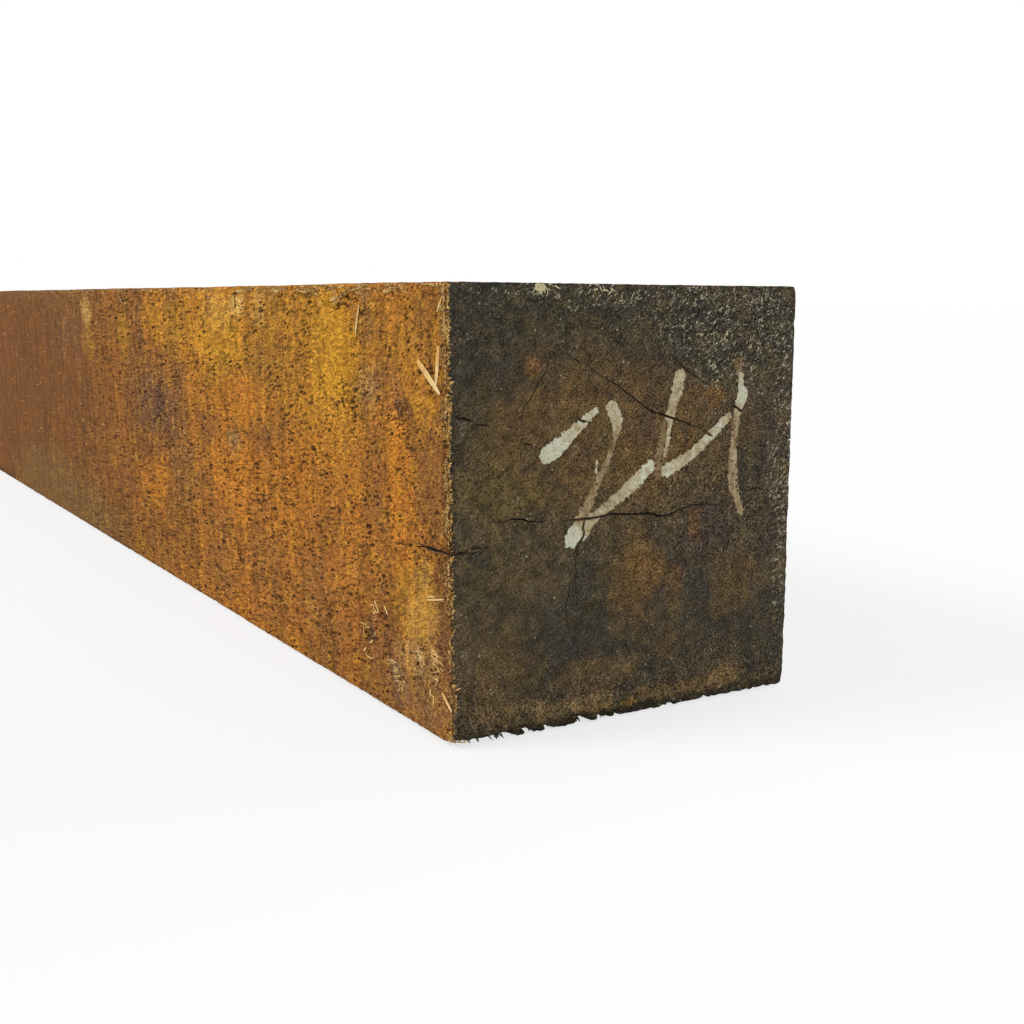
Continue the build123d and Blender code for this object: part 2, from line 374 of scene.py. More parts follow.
def sawn_hardwood():
    """Unplaned dense hardwood: the saw's teeth tore it, so it is matt, pitted and a little furry."""
    material, tree, place = new_material("sawn_hardwood")
    tint = colours()
    drifting = wandering(tree, place, 22, 16)
    columns = add_node(tree, "TexNoise", {
        "Vector": in_grains(tree, drifting, (24, 150, 110)), "Scale": 1.0, "Detail": 3.0})
    clouds = add_node(tree, "TexNoise", {
        "Vector": in_grains(tree, drifting, (70, 60, 60)), "Scale": 1.0, "Detail": 3.0})
    colour = tinted(tree, tint.dull_brown, columns, (0.35, 0.62), tint.orange_brown)
    colour = tinted(tree, colour, clouds, (0.56, 0.74, 0.0, 0.7), tint.ochre)
    colour = tinted(tree, colour, clouds, (0.42, 0.26, 0.0, 0.6), tint.mauve_brown)
    colour = stained_and_shaded(tree, colour, drifting, SIDE_STAINS, on_side)
    ragged = wandering(tree, place, 5, 4)
    colour = stained_and_shaded(tree, colour, ragged, SIDE_SPOTS, on_side)

    # Small patches of red and ochre. The far part of the side is duller, and all fine marks fade towards it
    redder = add_node(tree, "TexNoise", {
        "Vector": in_grains(tree, place, (4.5, 7, 7)), "Scale": 1.0, "Detail": 3.0, "Roughness": 0.6}, out=1)
    shares = add_node(tree, "SeparateColor", [redder]).node.outputs
    along = add_node(tree, "SeparateXYZ", [place])
    lively = add_node(tree, "MapRange", [along, HIGH.x - 520 * MM, HIGH.x - 240 * MM, 0.4, 1.0])
    for share, least, most, other in ((0, 0.48, 0.45, tint.red_brown), (1, 0.50, 0.40, tint.ochre)):
        mask = add_node(tree, "MapRange", [shares[share], least, 0.66, 0.0, most])
        colour = covered(tree, colour, mask, lively, other)

    # Rain streaks down the face, fine streaks between them, and wool combed one way by the saw. Real fibres
    # are a tenth of a millimetre thick, so the wool and its nap are drawn coarser, in tufts that show
    rain = add_node(tree, "TexNoise", {
        "Vector": in_grains(tree, place, (6, 60, 60)), "Scale": 1.0, "Detail": 4.0, "Roughness": 0.6})
    colour = shaded(tree, colour, rain, (0.32, 0.68, 0.22, 0.72), 0.4, "OVERLAY")
    streaks = add_node(tree, "TexNoise", {
        "Vector": in_grains(tree, place, (1.3, 45, 45)), "Scale": 1.0, "Detail": 3.0})
    colour = shaded(tree, colour, streaks, (0.25, 0.75, 0.28, 0.66), 0.22, "OVERLAY")
    combed = add_node(tree, "VectorRotate", {
        "Vector": drawn_out(tree, place), "Angle": radians(-16)}, rotation_type="Y_AXIS")
    wool = add_node(tree, "TexNoise", {
        "Vector": in_grains(tree, combed, (1.7, 1.0, 0.8)), "Scale": 1.0, "Detail": 4.0, "Roughness": 0.8})
    # The wool and nap shade the colour as well as bumping it: partly tone, partly painted light and shade of
    # their tufts
    colour = shaded(tree, colour, wool, (0.35, 0.64, 0.41, 1.60), lively)
    nap = add_node(tree, "TexNoise", {
        "Vector": in_grains(tree, combed, (0.7, 0.5, 0.4)), "Scale": 1.0, "Detail": 2.0})
    colour = shaded(tree, colour, nap, (0.3, 0.7, 0.58, 1.42), lively)

    # Pits where fibres were torn out, crowded in some places and missing in others, and pale raised fibre
    torn = wandering(tree, combed, 1.4, 1.0)
    crowds = add_node(tree, "TexNoise", {
        "Vector": in_grains(tree, place, (6, 30, 14)), "Scale": 1.0, "Detail": 3.0})
    crowded = add_node(tree, "MapRange", [crowds, 0.40, 0.54, 0.25, 1.0])
    for back, up, reach, reach_up in CLEAN_PATCHES:
        clean = patch(tree, ragged, on_side, back, up, reach, reach_up, 0.9)
        left = add_node(tree, "MapRange", [clean, 0.0, 1.0, 1.0, 0.2])
        crowded = add_node(tree, "Math", [crowded, left], operation="MULTIPLY")
    small = scattered(tree, torn, (1.6, 1.6, 0.8), 1.0, 0.56, 0.12)
    small = add_node(tree, "Math", [small, 0.95], operation="MULTIPLY")
    large = scattered(tree, torn, (3.3, 2.6, 1.5), 0.85, 0.42, 0.09)
    pits = add_node(tree, "Math", [small, large], operation="MAXIMUM")
    pits = add_node(tree, "Math", [pits, crowded], operation="MULTIPLY")
    # The pits' darker colour is partly painted shade in them, beside their bump
    colour = covered(tree, colour, pits, 0.92, tint.pit_and_shade_brown)
    # Pale flecks of raised fibre: partly its own paler colour, partly a painted highlight
    colour = covered(tree, colour, scattered(tree, torn, (2.2, 1.6, 1.1), 0.3), 0.45, tint.straw)

    relief = weighed_up(tree, [(streaks, 0.2), (wool, 0.6), (nap, 0.25), (pits, -0.7)])
    return surfaced(material, colour, 0.88, specular=0.06, relief=relief, relief_mm=1.3)


# Broad stains of the marked end: colour, across and up of the middle, reach, softness and strength
END_STAINS = [
    ("end_warm", 56, 84, 40, 24, 1.0, 0.75),
    ("end_warm", 46, 95, 12, 6, 0.9, 0.45),
    ("end_olive", 18, 71, 18, 12, 0.9, 0.80),
    ("end_warm", 26, 89, 11, 9, 0.9, 0.55),
    ("end_olive", 55, 76, 9, 12, 0.9, 0.55),
    ("end_olive", 18, 34, 16, 26, 1.0, 0.40),
    ("end_charcoal", 13, 114, 18, 15, 0.9, 0.85),
    ("end_charcoal", 49, 120, 18, 8, 0.9, 0.85),
    ("end_charcoal", 92, 111, 36, 15, 0.9, 0.95),
    ("end_purple", 117, 68, 8, 28, 0.9, 0.45),
    ("end_brown", 119, 62, 6, 30, 0.9, 0.40),
    ("end_warm", 66, 81, 10, 10, 1.0, 0.85),
    ("end_blue", 33, 24, 14, 11, 0.9, 0.60),
    ("end_blue", 70, 18, 10, 9, 0.9, 0.60),
    ("end_blue", 86, 35, 7, 6, 0.9, 0.55),
    ("end_purple", 67, 88, 4, 10, 1.2, 0.60),
    ("end_blue", 84, 118, 6, 5, 1.2, 0.55),
    ("end_purple", 89, 53, 10, 7, 0.9, 0.60),
    ("end_warm", 80, 80, 6, 6, 0.9, 0.45),
    ("end_warm", 63, 41, 9, 13, 0.9, 0.80),
    ("end_warm", 100, 36, 8, 10, 1.0, 0.55),
    ("end_warm", 73, 21, 5, 7, 0.9, 0.45),
    ("end_warm", 14, 18, 12, 14, 1.0, 0.35),
    ("end_warm", 48, 13, 14, 6, 0.9, 0.40),
]
# Small stains of the marked end, its foot's crust, and the fringe's painted shadow, told in the same way
END_SPOTS = [
    ("end_orange", 27.7, 102.5, 2.6, 3.4, 1.2, 0.80),
    # Painted shadow of the fringe on the end, along the upright arris
    ("end_rim", 0.4, 66, 2.4, 64, 1.2, 0.60),
    ("end_orange", 91.5, 93, 3.2, 3.6, 1.3, 0.55),
    ("end_orange", 84, 55, 2.2, 5.0, 1.3, 0.50),
    ("end_orange", 68, 43, 4.0, 4.0, 1.3, 0.35),
    ("end_orange", 77.4, 37, 2.4, 7.5, 1.3, 0.45),
    ("end_orange", 63, 46, 4.0, 6.0, 0.9, 0.35),
    ("end_blue", 10.8, 52.2, 4.5, 3.0, 0.9, 0.70),
    ("end_blue", 70, 13, 4.0, 2.5, 0.9, 0.50),
    ("end_warm", 70.5, 84.0, 1.2, 9.0, 0.9, 0.45),
    ("end_crust", 99.8, 101.8, 2.6, 2.0, 0.9, 0.70),
    ("end_crust", 20, 8.0, 12, 2.4, 1.0, 0.35),
    ("end_crust", 33, 6.5, 9, 2.2, 1.0, 0.55),
    ("end_crust", 43, 5.0, 6, 2.0, 0.9, 0.65),
    ("end_crust", 50.5, 5.6, 4.6, 3.0, 0.9, 0.85),
    ("end_ochre", 61.3, 3.6, 2.2, 1.8, 0.9, 0.85),
    ("end_crust", 67, 6.2, 4.5, 1.8, 0.9, 0.60),
    ("end_crust", 76, 5.0, 8.0, 1.8, 0.9, 0.60),
    ("end_crust", 86, 5.2, 6.0, 1.8, 0.9, 0.50),
    ("end_crust", 97, 6.4, 6.5, 3.4, 0.9, 0.85),
    ("end_crust", 55, 17, 12, 1.6, 1.0, 0.25),
]
# Where pale specks crowd on the marked end: across and up of the middle, and reach
DUSTY_PATCHES = [(100, 114, 36, 13), (119, 72, 5, 60), (66, 122, 60, 3), (96, 100, 16, 8)]


def weathered_end_grain():
    """Docked end grain left outdoors: grey-brown, open-pored and dusty, with faint rings about the pith."""
    material, tree, place = new_material("weathered_end_grain")
    tint = colours()
    drifting = wandering(tree, place, 14, 13)
    clouds = add_node(tree, "TexNoise", {
        "Vector": in_grains(tree, drifting, (22, 22, 22)), "Scale": 1.0, "Detail": 4.0, "Roughness": 0.6})
    colour = tinted(tree, tint.end_charcoal, clouds, (0.38, 0.58), tint.end_brown)
    colour = stained_and_shaded(tree, colour, drifting, END_STAINS, on_end)
    ragged = wandering(tree, place, 3.5, 4)
    colour = stained_and_shaded(tree, colour, ragged, END_SPOTS, on_end)
    spots = add_node(tree, "SeparateXYZ", [ragged]).node.outputs
    colour = tinted(tree, colour, spots[2], (3.8 * MM, 1.4 * MM, 0.0, 0.85), tint.end_rim)

    # Growth rings, 1 mm apart, just show, under moulds and mottles
    from_pith = add_node(tree, "VectorMath", [place, PITH], operation="SUBTRACT")
    on_section = add_node(tree, "VectorMath", [from_pith, (0, 1, 1)], operation="MULTIPLY")
    radius = add_node(tree, "VectorMath", [wandering(tree, on_section, 9, 0.9)], out=1, operation="LENGTH")
    count = add_node(tree, "Math", [radius, 1.0 * MM], operation="DIVIDE")
    rings = add_node(tree, "TexNoise", {"W": count, "Scale": 1.0, "Detail": 3.0}, noise_dimensions="1D")
    shown = add_node(tree, "TexNoise", {"Vector": in_grains(tree, place, (14, 14, 14)), "Scale": 1.0})
    shown = add_node(tree, "MapRange", [shown, 0.4, 0.65, 0.0, 0.3])
    colour = shaded(tree, colour, rings, (0.3, 0.7, 0.2, 0.8), shown, "OVERLAY")
    moulds = add_node(tree, "TexNoise", {
        "Vector": in_grains(tree, drifting, (7, 7, 7)), "Scale": 1.0, "Detail": 3.0, "Roughness": 0.6}, out=1)
    shares = add_node(tree, "SeparateColor", [moulds]).node.outputs
    for share, other in zip(shares, (tint.end_blue, tint.end_purple, tint.end_olive)):
        colour = tinted(tree, colour, share, (0.50, 0.68, 0.0, 0.45), other)
    mottles = add_node(tree, "TexNoise", {
        "Vector": in_grains(tree, place, (3.6, 3.6, 3.6)), "Scale": 1.0, "Detail": 3.0, "Roughness": 0.6})
    colour = shaded(tree, colour, mottles, (0.35, 0.65, 0.7, 1.3))

    # Scratches that the docking saw left, and grit, which is coarser by the far side and in the foot's crust
    sawn = add_node(tree, "VectorRotate", {"Vector": place, "Angle": radians(-38)}, rotation_type="X_AXIS")
    scratches = add_node(tree, "TexNoise", {
        "Vector": in_grains(tree, sawn, (5, 5, 0.7)), "Scale": 1.0, "Detail": 4.0, "Roughness": 0.7})
    colour = shaded(tree, colour, scratches, (0.36, 0.64, 0.76, 1.26))
    grit = add_node(tree, "TexNoise", {
        "Vector": in_grains(tree, place, (0.55, 0.55, 0.5)), "Scale": 1.0, "Detail": 3.0, "Roughness": 0.7})
    fine_shade = add_node(tree, "MapRange", [grit, 0.38, 0.62, 0.34, 1.66])
    coarse_shade = add_node(tree, "MapRange", [grit, 0.40, 0.60, 0.06, 1.92])
    coarser = add_node(tree, "MapRange", [spots[1], LOW.y + 30 * MM, LOW.y + 92 * MM])
    crusted = add_node(tree, "MapRange", [spots[2], 22 * MM, 6 * MM])
    coarser = add_node(tree, "Math", [coarser, crusted], operation="MAXIMUM")
    grit_shade = add_node(tree, "Mix", {0: coarser, 2: fine_shade, 3: coarse_shade}, data_type="FLOAT")
    colour = add_node(tree, "Mix", {0: 1.0, 6: colour, 7: grit_shade}, 2,
                      data_type="RGBA", blend_type="MULTIPLY")

    # Real pores are 0.2 mm across and dust is finer, so both are drawn coarser, or they wouldn't show
    pores = scattered(tree, place, (1.0, 1.0, 1.0), 0.35)
    # The pores' dark colour is painted shade in them
    colour = covered(tree, colour, pores, 0.6, tint.check_wall)
    dusty = add_node(tree, "TexNoise", {"Vector": in_grains(tree, place, (16, 16, 16)), "Scale": 1.0})
    dusty = add_node(tree, "MapRange", [dusty, 0.45, 0.70, 0.1, 0.55])
    for across, up, reach, reach_up in DUSTY_PATCHES:
        crowd = patch(tree, drifting, on_end, across, up, reach, reach_up, 1.4)
        dusty = add_node(tree, "Math", [dusty, crowd], operation="MAXIMUM")
    dust = scattered(tree, place, (1.0, 0.9, 0.9), 0.5, 0.40, 0.2)
    dust = add_node(tree, "Math", [dust, dusty], operation="MULTIPLY")
    dust = add_node(tree, "Math", [dust, 0.75], operation="MULTIPLY")
    colour = add_node(tree, "Mix", {0: dust, 6: colour, 7: tint.dust}, 2, data_type="RGBA")

    # Pale fibre ends: short strands where the dust is thickest, and dots all over
    strands = add_node(tree, "TexNoise", {
        "Vector": in_grains(tree, wandering(tree, sawn, 3, 2), (2, 1.5, 0.42)), "Scale": 1.0, "Detail": 3.0})
    strands = add_node(tree, "MapRange", [strands, 0.60, 0.66])
    very_dusty = add_node(tree, "MapRange", [dusty, 0.35, 1.0])
    strands = add_node(tree, "Math", [strands, very_dusty], operation="MULTIPLY")
    specks = scattered(tree, place, (1.3, 1.0, 1.0), 0.3, 0.36, 0.2)
    sparsely = add_node(tree, "MapRange", [dusty, 0.1, 1.0, 0.2, 1.0])
    specks = add_node(tree, "Math", [specks, sparsely], operation="MULTIPLY")
    pale = add_node(tree, "Math", [strands, specks], operation="MAXIMUM")
    colour = add_node(tree, "Mix", {0: pale, 6: colour, 7: tint.speck}, 2, data_type="RGBA")

    relief = weighed_up(tree, [(rings, 0.1), (scratches, 0.25), (grit, 0.8), (dust, 0.4), (pores, -0.5)])
    return surfaced(material, colour, 0.8, specular=0.1, relief=relief, relief_mm=0.8)


def check_wall():
    """The split walls of a drying check, coloured near black as painted shade deep in the split."""
    material, tree, place = new_material("check_wall")
    fibres = add_node(tree, "TexNoise", {
        "Vector": in_grains(tree, place, (6, 0.6, 0.6)), "Scale": 1.0, "Detail": 3.0})
    near_black = (0.004, 0.003, 0.002, 1)
    colour = add_node(tree, "Mix", {0: fibres, 6: near_black, 7: colours().check_wall}, 2, data_type="RGBA")
    return surfaced(material, colour, 0.95)


def torn_fibre():
    """Fresh torn wood fibre: pale and silky along its length, dirtier at its root."""
    material, tree, place = new_material("torn_fibre")
    tint = colours()
    each = add_node(tree, "TexNoise", {
        "Vector": in_grains(tree, place, (0.9, 0.9, 0.9)), "Scale": 1.0, "Detail": 2.0})
    each = add_node(tree, "MapRange", [each, 0.40, 0.62, -0.3, 0.5])
    along = add_node(tree, "Attribute", out=2, attribute_name="along")
    paleness = add_node(tree, "Math", [along, 0.75, each], operation="MULTIPLY_ADD")
    colour = add_node(tree, "Mix", {0: paleness, 6: tint.fibre_root, 7: tint.fibre}, 2, data_type="RGBA")
    colour = tinted(tree, colour, along, (0.60, 1.0, 0.0, 0.40), tint.wool_tip)
    fine = add_node(tree, "TexNoise", {
        "Vector": in_grains(tree, place, (0.35, 0.35, 0.35)), "Scale": 1.0, "Detail": 2.0})
    colour = shaded(tree, colour, fine, (0.3, 0.7, 0.25, 0.8), 0.6, "OVERLAY")
    return surfaced(material, colour, 0.75, specular=0.1)


def pale_splinter():
    """Long splinters snapped off clean: straw-coloured, with fibres lying along them."""
    material, tree, place = new_material("pale_splinter")
    tint = colours()
    fine = add_node(tree, "TexNoise", {
        "Vector": in_grains(tree, place, (0.5, 0.5, 2.0)), "Scale": 1.0, "Detail": 3.0})
    along = add_node(tree, "Attribute", out=2, attribute_name="along")
    colour = tinted(tree, tint.straw, along, (0.1, 0.9, 0.0, 0.6), tint.wool_tip)
    colour = shaded(tree, colour, fine, (0.3, 0.7, 0.12, 0.62), 0.6, "OVERLAY")
    return surfaced(material, colour, 0.65, specular=0.15)


def brushed_paint():
    """Matt lime-white marking paint brushed once over end grain: thick at the strokes' ends, worn between."""
    material, tree, place = new_material("brushed_paint")
    tint = colours()
    wear = add_node(tree, "Attribute", out=2, attribute_name="wear")
    blotches = add_node(tree, "TexNoise", {
        "Vector": in_grains(tree, place, (2.6, 2.6, 2.6)), "Scale": 1.0, "Detail": 5.0, "Roughness": 0.75})
    centred = add_node(tree, "Math", [blotches, 0.5], operation="SUBTRACT")
    worn = add_node(tree, "Math", [centred, 2.2, wear], operation="MULTIPLY_ADD")
    colour = tinted(tree, tint.paint_white, worn, (0.05, 0.45), tint.paint_cream)
    colour = tinted(tree, colour, worn, (0.42, 0.85), tint.paint_tan)
    colour = tinted(tree, colour, worn, (0.78, 1.2, 0.0, 0.9), tint.end_warm)
    grit = add_node(tree, "TexNoise", {
        "Vector": in_grains(tree, place, (0.5, 0.5, 0.5)), "Scale": 1.0, "Detail": 3.0, "Roughness": 0.7})
    colour = shaded(tree, colour, grit, (0.34, 0.66, 0.6, 1.28))
    holes = scattered(tree, wandering(tree, place, 1.2, 0.7), (1.0, 1.0, 1.0), 0.85, 0.48, 0.2)
    worn_through = add_node(tree, "MapRange", [worn, 0.2, 0.9, 0.05, 0.95])
    colour = covered(tree, colour, holes, worn_through, tint.end_brown)
    return surfaced(material, colour, 0.7, relief=grit, relief_mm=0.3, strength=0.8)


def dirty_fibre():
    """Short torn fibre round the end grain: dusty brown, near black at the foot and pale at the head."""
    material, tree, place = new_material("dirty_fibre")
    tint = colours()
    patches = add_node(tree, "TexNoise", {
        "Vector": in_grains(tree, place, (1.6, 1.6, 1.6)), "Scale": 1.0, "Detail": 2.0})
    colour = tinted(tree, tint.end_rim, patches, (0.36, 0.60), tint.end_crust)
    up = add_node(tree, "SeparateXYZ", [place], out=2)
    colour = tinted(tree, colour, up, (119 * MM, 122 * MM), tint.head_fibre)
    colour = tinted(tree, colour, up, (3.4 * MM, 2.0 * MM, 0.0, 0.9), tint.end_rim)
    return surfaced(material, colour, 0.85, specular=0.1)


def pale_grit():
    """Grains of sand and broken fibre stuck to the end: pale, matt, and no two alike."""
    material, tree, place = new_material("pale_grit")
    each = add_node(tree, "TexNoise", {"Vector": in_grains(tree, place, (1.5, 1.5, 1.5)), "Scale": 1.0})
    tint = colours()
    colour = add_node(tree, "Mix", {0: each, 6: tint.end_warm, 7: tint.paint_white}, 2, data_type="RGBA")
    return surfaced(material, colour, 0.6)


# Modelling

def nothing_selected():
    """Leaves edit mode and deselects everything, so that the next operator acts on its own piece alone."""
    if bpy.context.object and bpy.context.object.mode != "OBJECT":
        bpy.ops.object.mode_set(mode="OBJECT")
    bpy.ops.object.select_all(action="DESELECT")


def take_up(piece):
    """Selects one piece and makes it the active one."""
    nothing_selected()
    piece.select_set(True)
    bpy.context.view_layer.objects.active = piece


def name_piece(name):
    """Names the piece that was just added, and its mesh."""
    piece = bpy.context.object
    piece.name = name
    piece.data.name = name
    return piece


def pick(piece, kind, test):
    """In edit mode, selects just the piece's verts, edges or faces that pass the test."""
    bpy.context.tool_settings.mesh_select_mode = (kind == "verts", kind == "edges", kind == "faces")
    mesh = bmesh.from_edit_mesh(piece.data)
    for layer in (mesh.verts, mesh.edges, mesh.faces):
        for part in layer:
            part.select = False
    for part in getattr(mesh, kind):
        if test(part):
            part.select_set(True)
    mesh.select_flush_mode()
    bmesh.update_edit_mesh(piece.data)


def apply_modifiers(piece):
    """Makes what the piece's modifiers do its own mesh."""
    take_up(piece)
    for modifier in list(piece.modifiers):
        bpy.ops.object.modifier_apply(modifier=modifier.name)


def finish_piece(piece, material):
    """Gives a piece its finish, trims it to the solid's box and lets it ride on the post."""
    piece.data.materials.clear()
    piece.data.materials.append(material)
    for vertex in piece.data.vertices:
        vertex.co = [max(low + SLACK, min(high - SLACK, at)) for low, at, high in zip(LOW, vertex.co, HIGH)]
    take_up(piece)
    bpy.ops.object.shade_smooth_by_angle(angle=radians(50))
    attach(piece, "root")


def surface_under(place, outward, proud=0.0):
    """Where the torn surface lies under a place on the solid's face, or the given mm out from there."""
    hit, spot, normal, face = bpy.data.objects["post_timber"].ray_cast(
        place + outward * 4 * MM, -outward, distance=14 * MM)
    return (spot if hit else place) + outward * (proud * MM)


def grain(tree, place, sizes_mm, start, end, depth, detail=2.0):
    """Noise of one grain size, as a depth from 0 where it is at its start to the full depth at its end."""
    value = add_node(tree, "TexNoise", {
        "Vector": in_grains(tree, place, sizes_mm), "Scale": 1.0, "Detail": detail, "Roughness": 0.6})
    return add_node(tree, "MapRange", [value, start, end, 0.0, depth])


def added_up(tree, depths):
    """The sum of some depths."""
    total = depths[0]
    for depth in depths[1:]:
        total = add_node(tree, "Math", [total, depth], operation="ADD")
    return total


def sawn_relief(tree, place):
    """How deep the saw tore the long sides, least on the hidden one, and how rough it left the ends."""
    relief = sizes().side_relief
    side = added_up(tree, [
        grain(tree, place, (90, 120, 120), 0.3, 0.7, 0.35 * relief, 1.0),
        grain(tree, place, (3.2, 130, 130), 0.3, 0.7, 0.25 * relief),
        grain(tree, place, (3.0, 2.4, 3.4), 0.45, 0.70, 0.45 * relief, 3.0)])
    across = add_node(tree, "SeparateXYZ", [place], out=1)
    smoother = add_node(tree, "MapRange", [across, HIGH.y - 20 * MM, HIGH.y - 3 * MM, 1.0, 0.3])
    side = add_node(tree, "Math", [side, smoother], operation="MULTIPLY")
    relief = sizes().end_relief
    end = added_up(tree, [
        grain(tree, place, (25, 25, 25), 0.3, 0.7, 0.3 * relief),
        grain(tree, place, (3.0, 2.0, 2.0), 0.3, 0.7, 0.7 * relief, 4.0)])
    facing = add_node(tree, "SeparateXYZ", [add_node(tree, "GeometryNodeInputNormal")])
    endwise = add_node(tree, "Math", [facing], operation="ABSOLUTE")
    on_ends = add_node(tree, "MapRange", [endwise, 0.6, 0.8])
    return add_node(tree, "Mix", {0: on_ends, 2: side, 3: end}, data_type="FLOAT")


def chips(tree, place, inside):
    """How deep the arrises round both ends are chipped: most by the seen side, and more at the foot."""
    to_arris = add_node(tree, "Math", [inside[1], inside[2]], operation="MINIMUM")
    to_arris = add_node(tree, "Math", [to_arris, inside[0]], operation="MAXIMUM")
    near_arris = add_node(tree, "MapRange", [to_arris, 3.0 * MM, 0.4 * MM])
    at = add_node(tree, "SeparateXYZ", [place]).node.outputs
    at_foot = add_node(tree, "MapRange", [at[2], 8 * MM, 2 * MM, 0.25, 0.55])
    at_side = add_node(tree, "MapRange", [at[1], LOW.y + 8 * MM, LOW.y + 3 * MM, 0.25, 1.0])
    share = add_node(tree, "Math", [at_foot, at_side], operation="MAXIMUM")
    share = add_node(tree, "Math", [share, near_arris], operation="MULTIPLY")
    deep = grain(tree, place, (3.0, 3.0, 3.0), 0.42, 0.70, sizes().chip_depth, 3.0)
    return add_node(tree, "Math", [deep, share], operation="MULTIPLY")


def wear(tree, place, inside):
    """How far the long arrises are worn round. The distance from the seen side follows its lean."""
    at = add_node(tree, "SeparateXYZ", [place]).node.outputs
    leaning = add_node(tree, "Math", [at[2], LEAN / HEIGHT, LOW.y - LEAN], operation="MULTIPLY_ADD")
    from_seen = add_node(tree, "Math", [at[1], leaning], operation="ADD")
    from_seen = add_node(tree, "Math", [from_seen, -2 * LOW.y], operation="ADD")
    sideways = add_node(tree, "Math", [from_seen, inside[1]], operation="MINIMUM")
    to_long_arris = add_node(tree, "Math", [sideways, inside[2]], operation="MAXIMUM")
    return add_node(tree, "MapRange", [to_long_arris, 1.5 * MM, 0.0, 0.0, sizes().arris_wear])


def dug(tree, place):
    """How deep each gouge goes at a place."""
    for centre, reach, deep in gouges():
        mask = lump(tree, place, centre, reach, 0.9)
        yield add_node(tree, "Math", [mask, deep * MM], operation="MULTIPLY")


def torn_surface(piece):
    """Sinks each point below the sawn plane: shallow waves, saw marks, torn grain, gouges and chips."""
    tree = bpy.data.node_groups.new("torn_surface", "GeometryNodeTree")
    for in_out in ("INPUT", "OUTPUT"):
        tree.interface.new_socket("Geometry", in_out=in_out, socket_type="NodeSocketGeometry")
    timber = tree.nodes.new("NodeGroupInput").outputs[0]
    place = add_node(tree, "GeometryNodeInputPosition")
    from_middle = add_node(tree, "VectorMath", [place, (LOW + HIGH) / 2], operation="SUBTRACT")
    from_middle = add_node(tree, "VectorMath", [from_middle], operation="ABSOLUTE")
    inside = add_node(tree, "VectorMath", [(HIGH - LOW) / 2, from_middle], operation="SUBTRACT")
    inside = add_node(tree, "SeparateXYZ", [inside]).node.outputs
    depth = added_up(tree, [
        sawn_relief(tree, place), chips(tree, place, inside), wear(tree, place, inside), *dug(tree, place)])

    # A point sinks straight in on a face and slantwise near an arris, so that the faces never cross there
    core = add_node(tree, "VectorMath", [place, LOW + CORE], operation="MAXIMUM")
    core = add_node(tree, "VectorMath", [core, HIGH - CORE], operation="MINIMUM")
    outward = add_node(tree, "VectorMath", [place, core], operation="SUBTRACT")
    outward = add_node(tree, "VectorMath", [outward], operation="NORMALIZE")
    sunk = add_node(tree, "Math", [depth, -1.0, -SLACK], operation="MULTIPLY_ADD")
    inward = add_node(tree, "VectorMath", {0: outward, "Scale": sunk}, operation="SCALE")
    torn = add_node(tree, "GeometryNodeSetPosition", {"Geometry": timber, "Offset": inward})
    tree.links.new(torn, tree.nodes.new("NodeGroupOutput").inputs[0])
    piece.modifiers.new("torn_surface", "NODES").node_group = tree


# Gouges of the seen side: back and up of the middle, reach back and up, and depth
SIDE_GOUGES = [
    (67, 118.0, 8, 1.3, 1.1),
    (60, 120.6, 6, 1.2, 1.0),
    (91, 121.5, 7, 1.0, 0.8),
    (52.5, 20.0, 3.5, 2.8, 1.6),
    (44, 27.0, 1.4, 4.0, 0.9),
    (10.0, 19.0, 1.4, 2.2, 1.0),
    (8.5, 93.0, 3.0, 2.5, 0.6),
    (2.5, 12.0, 2.2, 2.0, 1.0),
    (23.5, 89.0, 2.5, 3.0, 0.9),
    (30.0, 12.0, 4.0, 2.5, 0.9),
]
# Nicks along the marked end's foot, where torn strips hang: across and half width
FOOT_NICKS = [(14, 6), (26, 1.6), (33, 1.4), (43, 3.4), (50.8, 0.8), (53.1, 0.8), (56.7, 0.8), (76.3, 1.4),
              (89.8, 1.8)]

# Where the torn nicks reach higher than in the solid: across, half width and height
FOOT_GOUGES = [(26.3, 1.0, 1.2), (33.0, 0.7, 1.0), (44.6, 1.8, 2.2), (50.9, 0.6, 1.6), (53.2, 0.6, 1.6),
               (56.9, 0.6, 1.6), (76.5, 0.8, 1.0), (89.8, 0.8, 0.9)]


def gouges():
    """The middle, the reach in mm along X, Y and Z, and the depth in mm of each gouge."""
    for back, up, reach, reach_up, deep in SIDE_GOUGES:
        yield on_side(back, up), (reach, 3, reach_up), deep
    for across, half, high in FOOT_GOUGES:
        yield on_end(across, 0), (7, half, high), high


LADDER_CUTS = 149       # rungs along the post, 16 mm apart
SECTION_CUTS = 7        # cuts across each face of the section, 16 mm apart too
# Steps that each halve the cells: on which faces, and between which distances back from the marked end
FINER = [("all", -1, 600), ("all", -1, 170), ("all", -1, 76), ("seen", 1, 2400), ("seen", 76, 600),
         ("seen", 1, 40), ("end", -1, 1)]


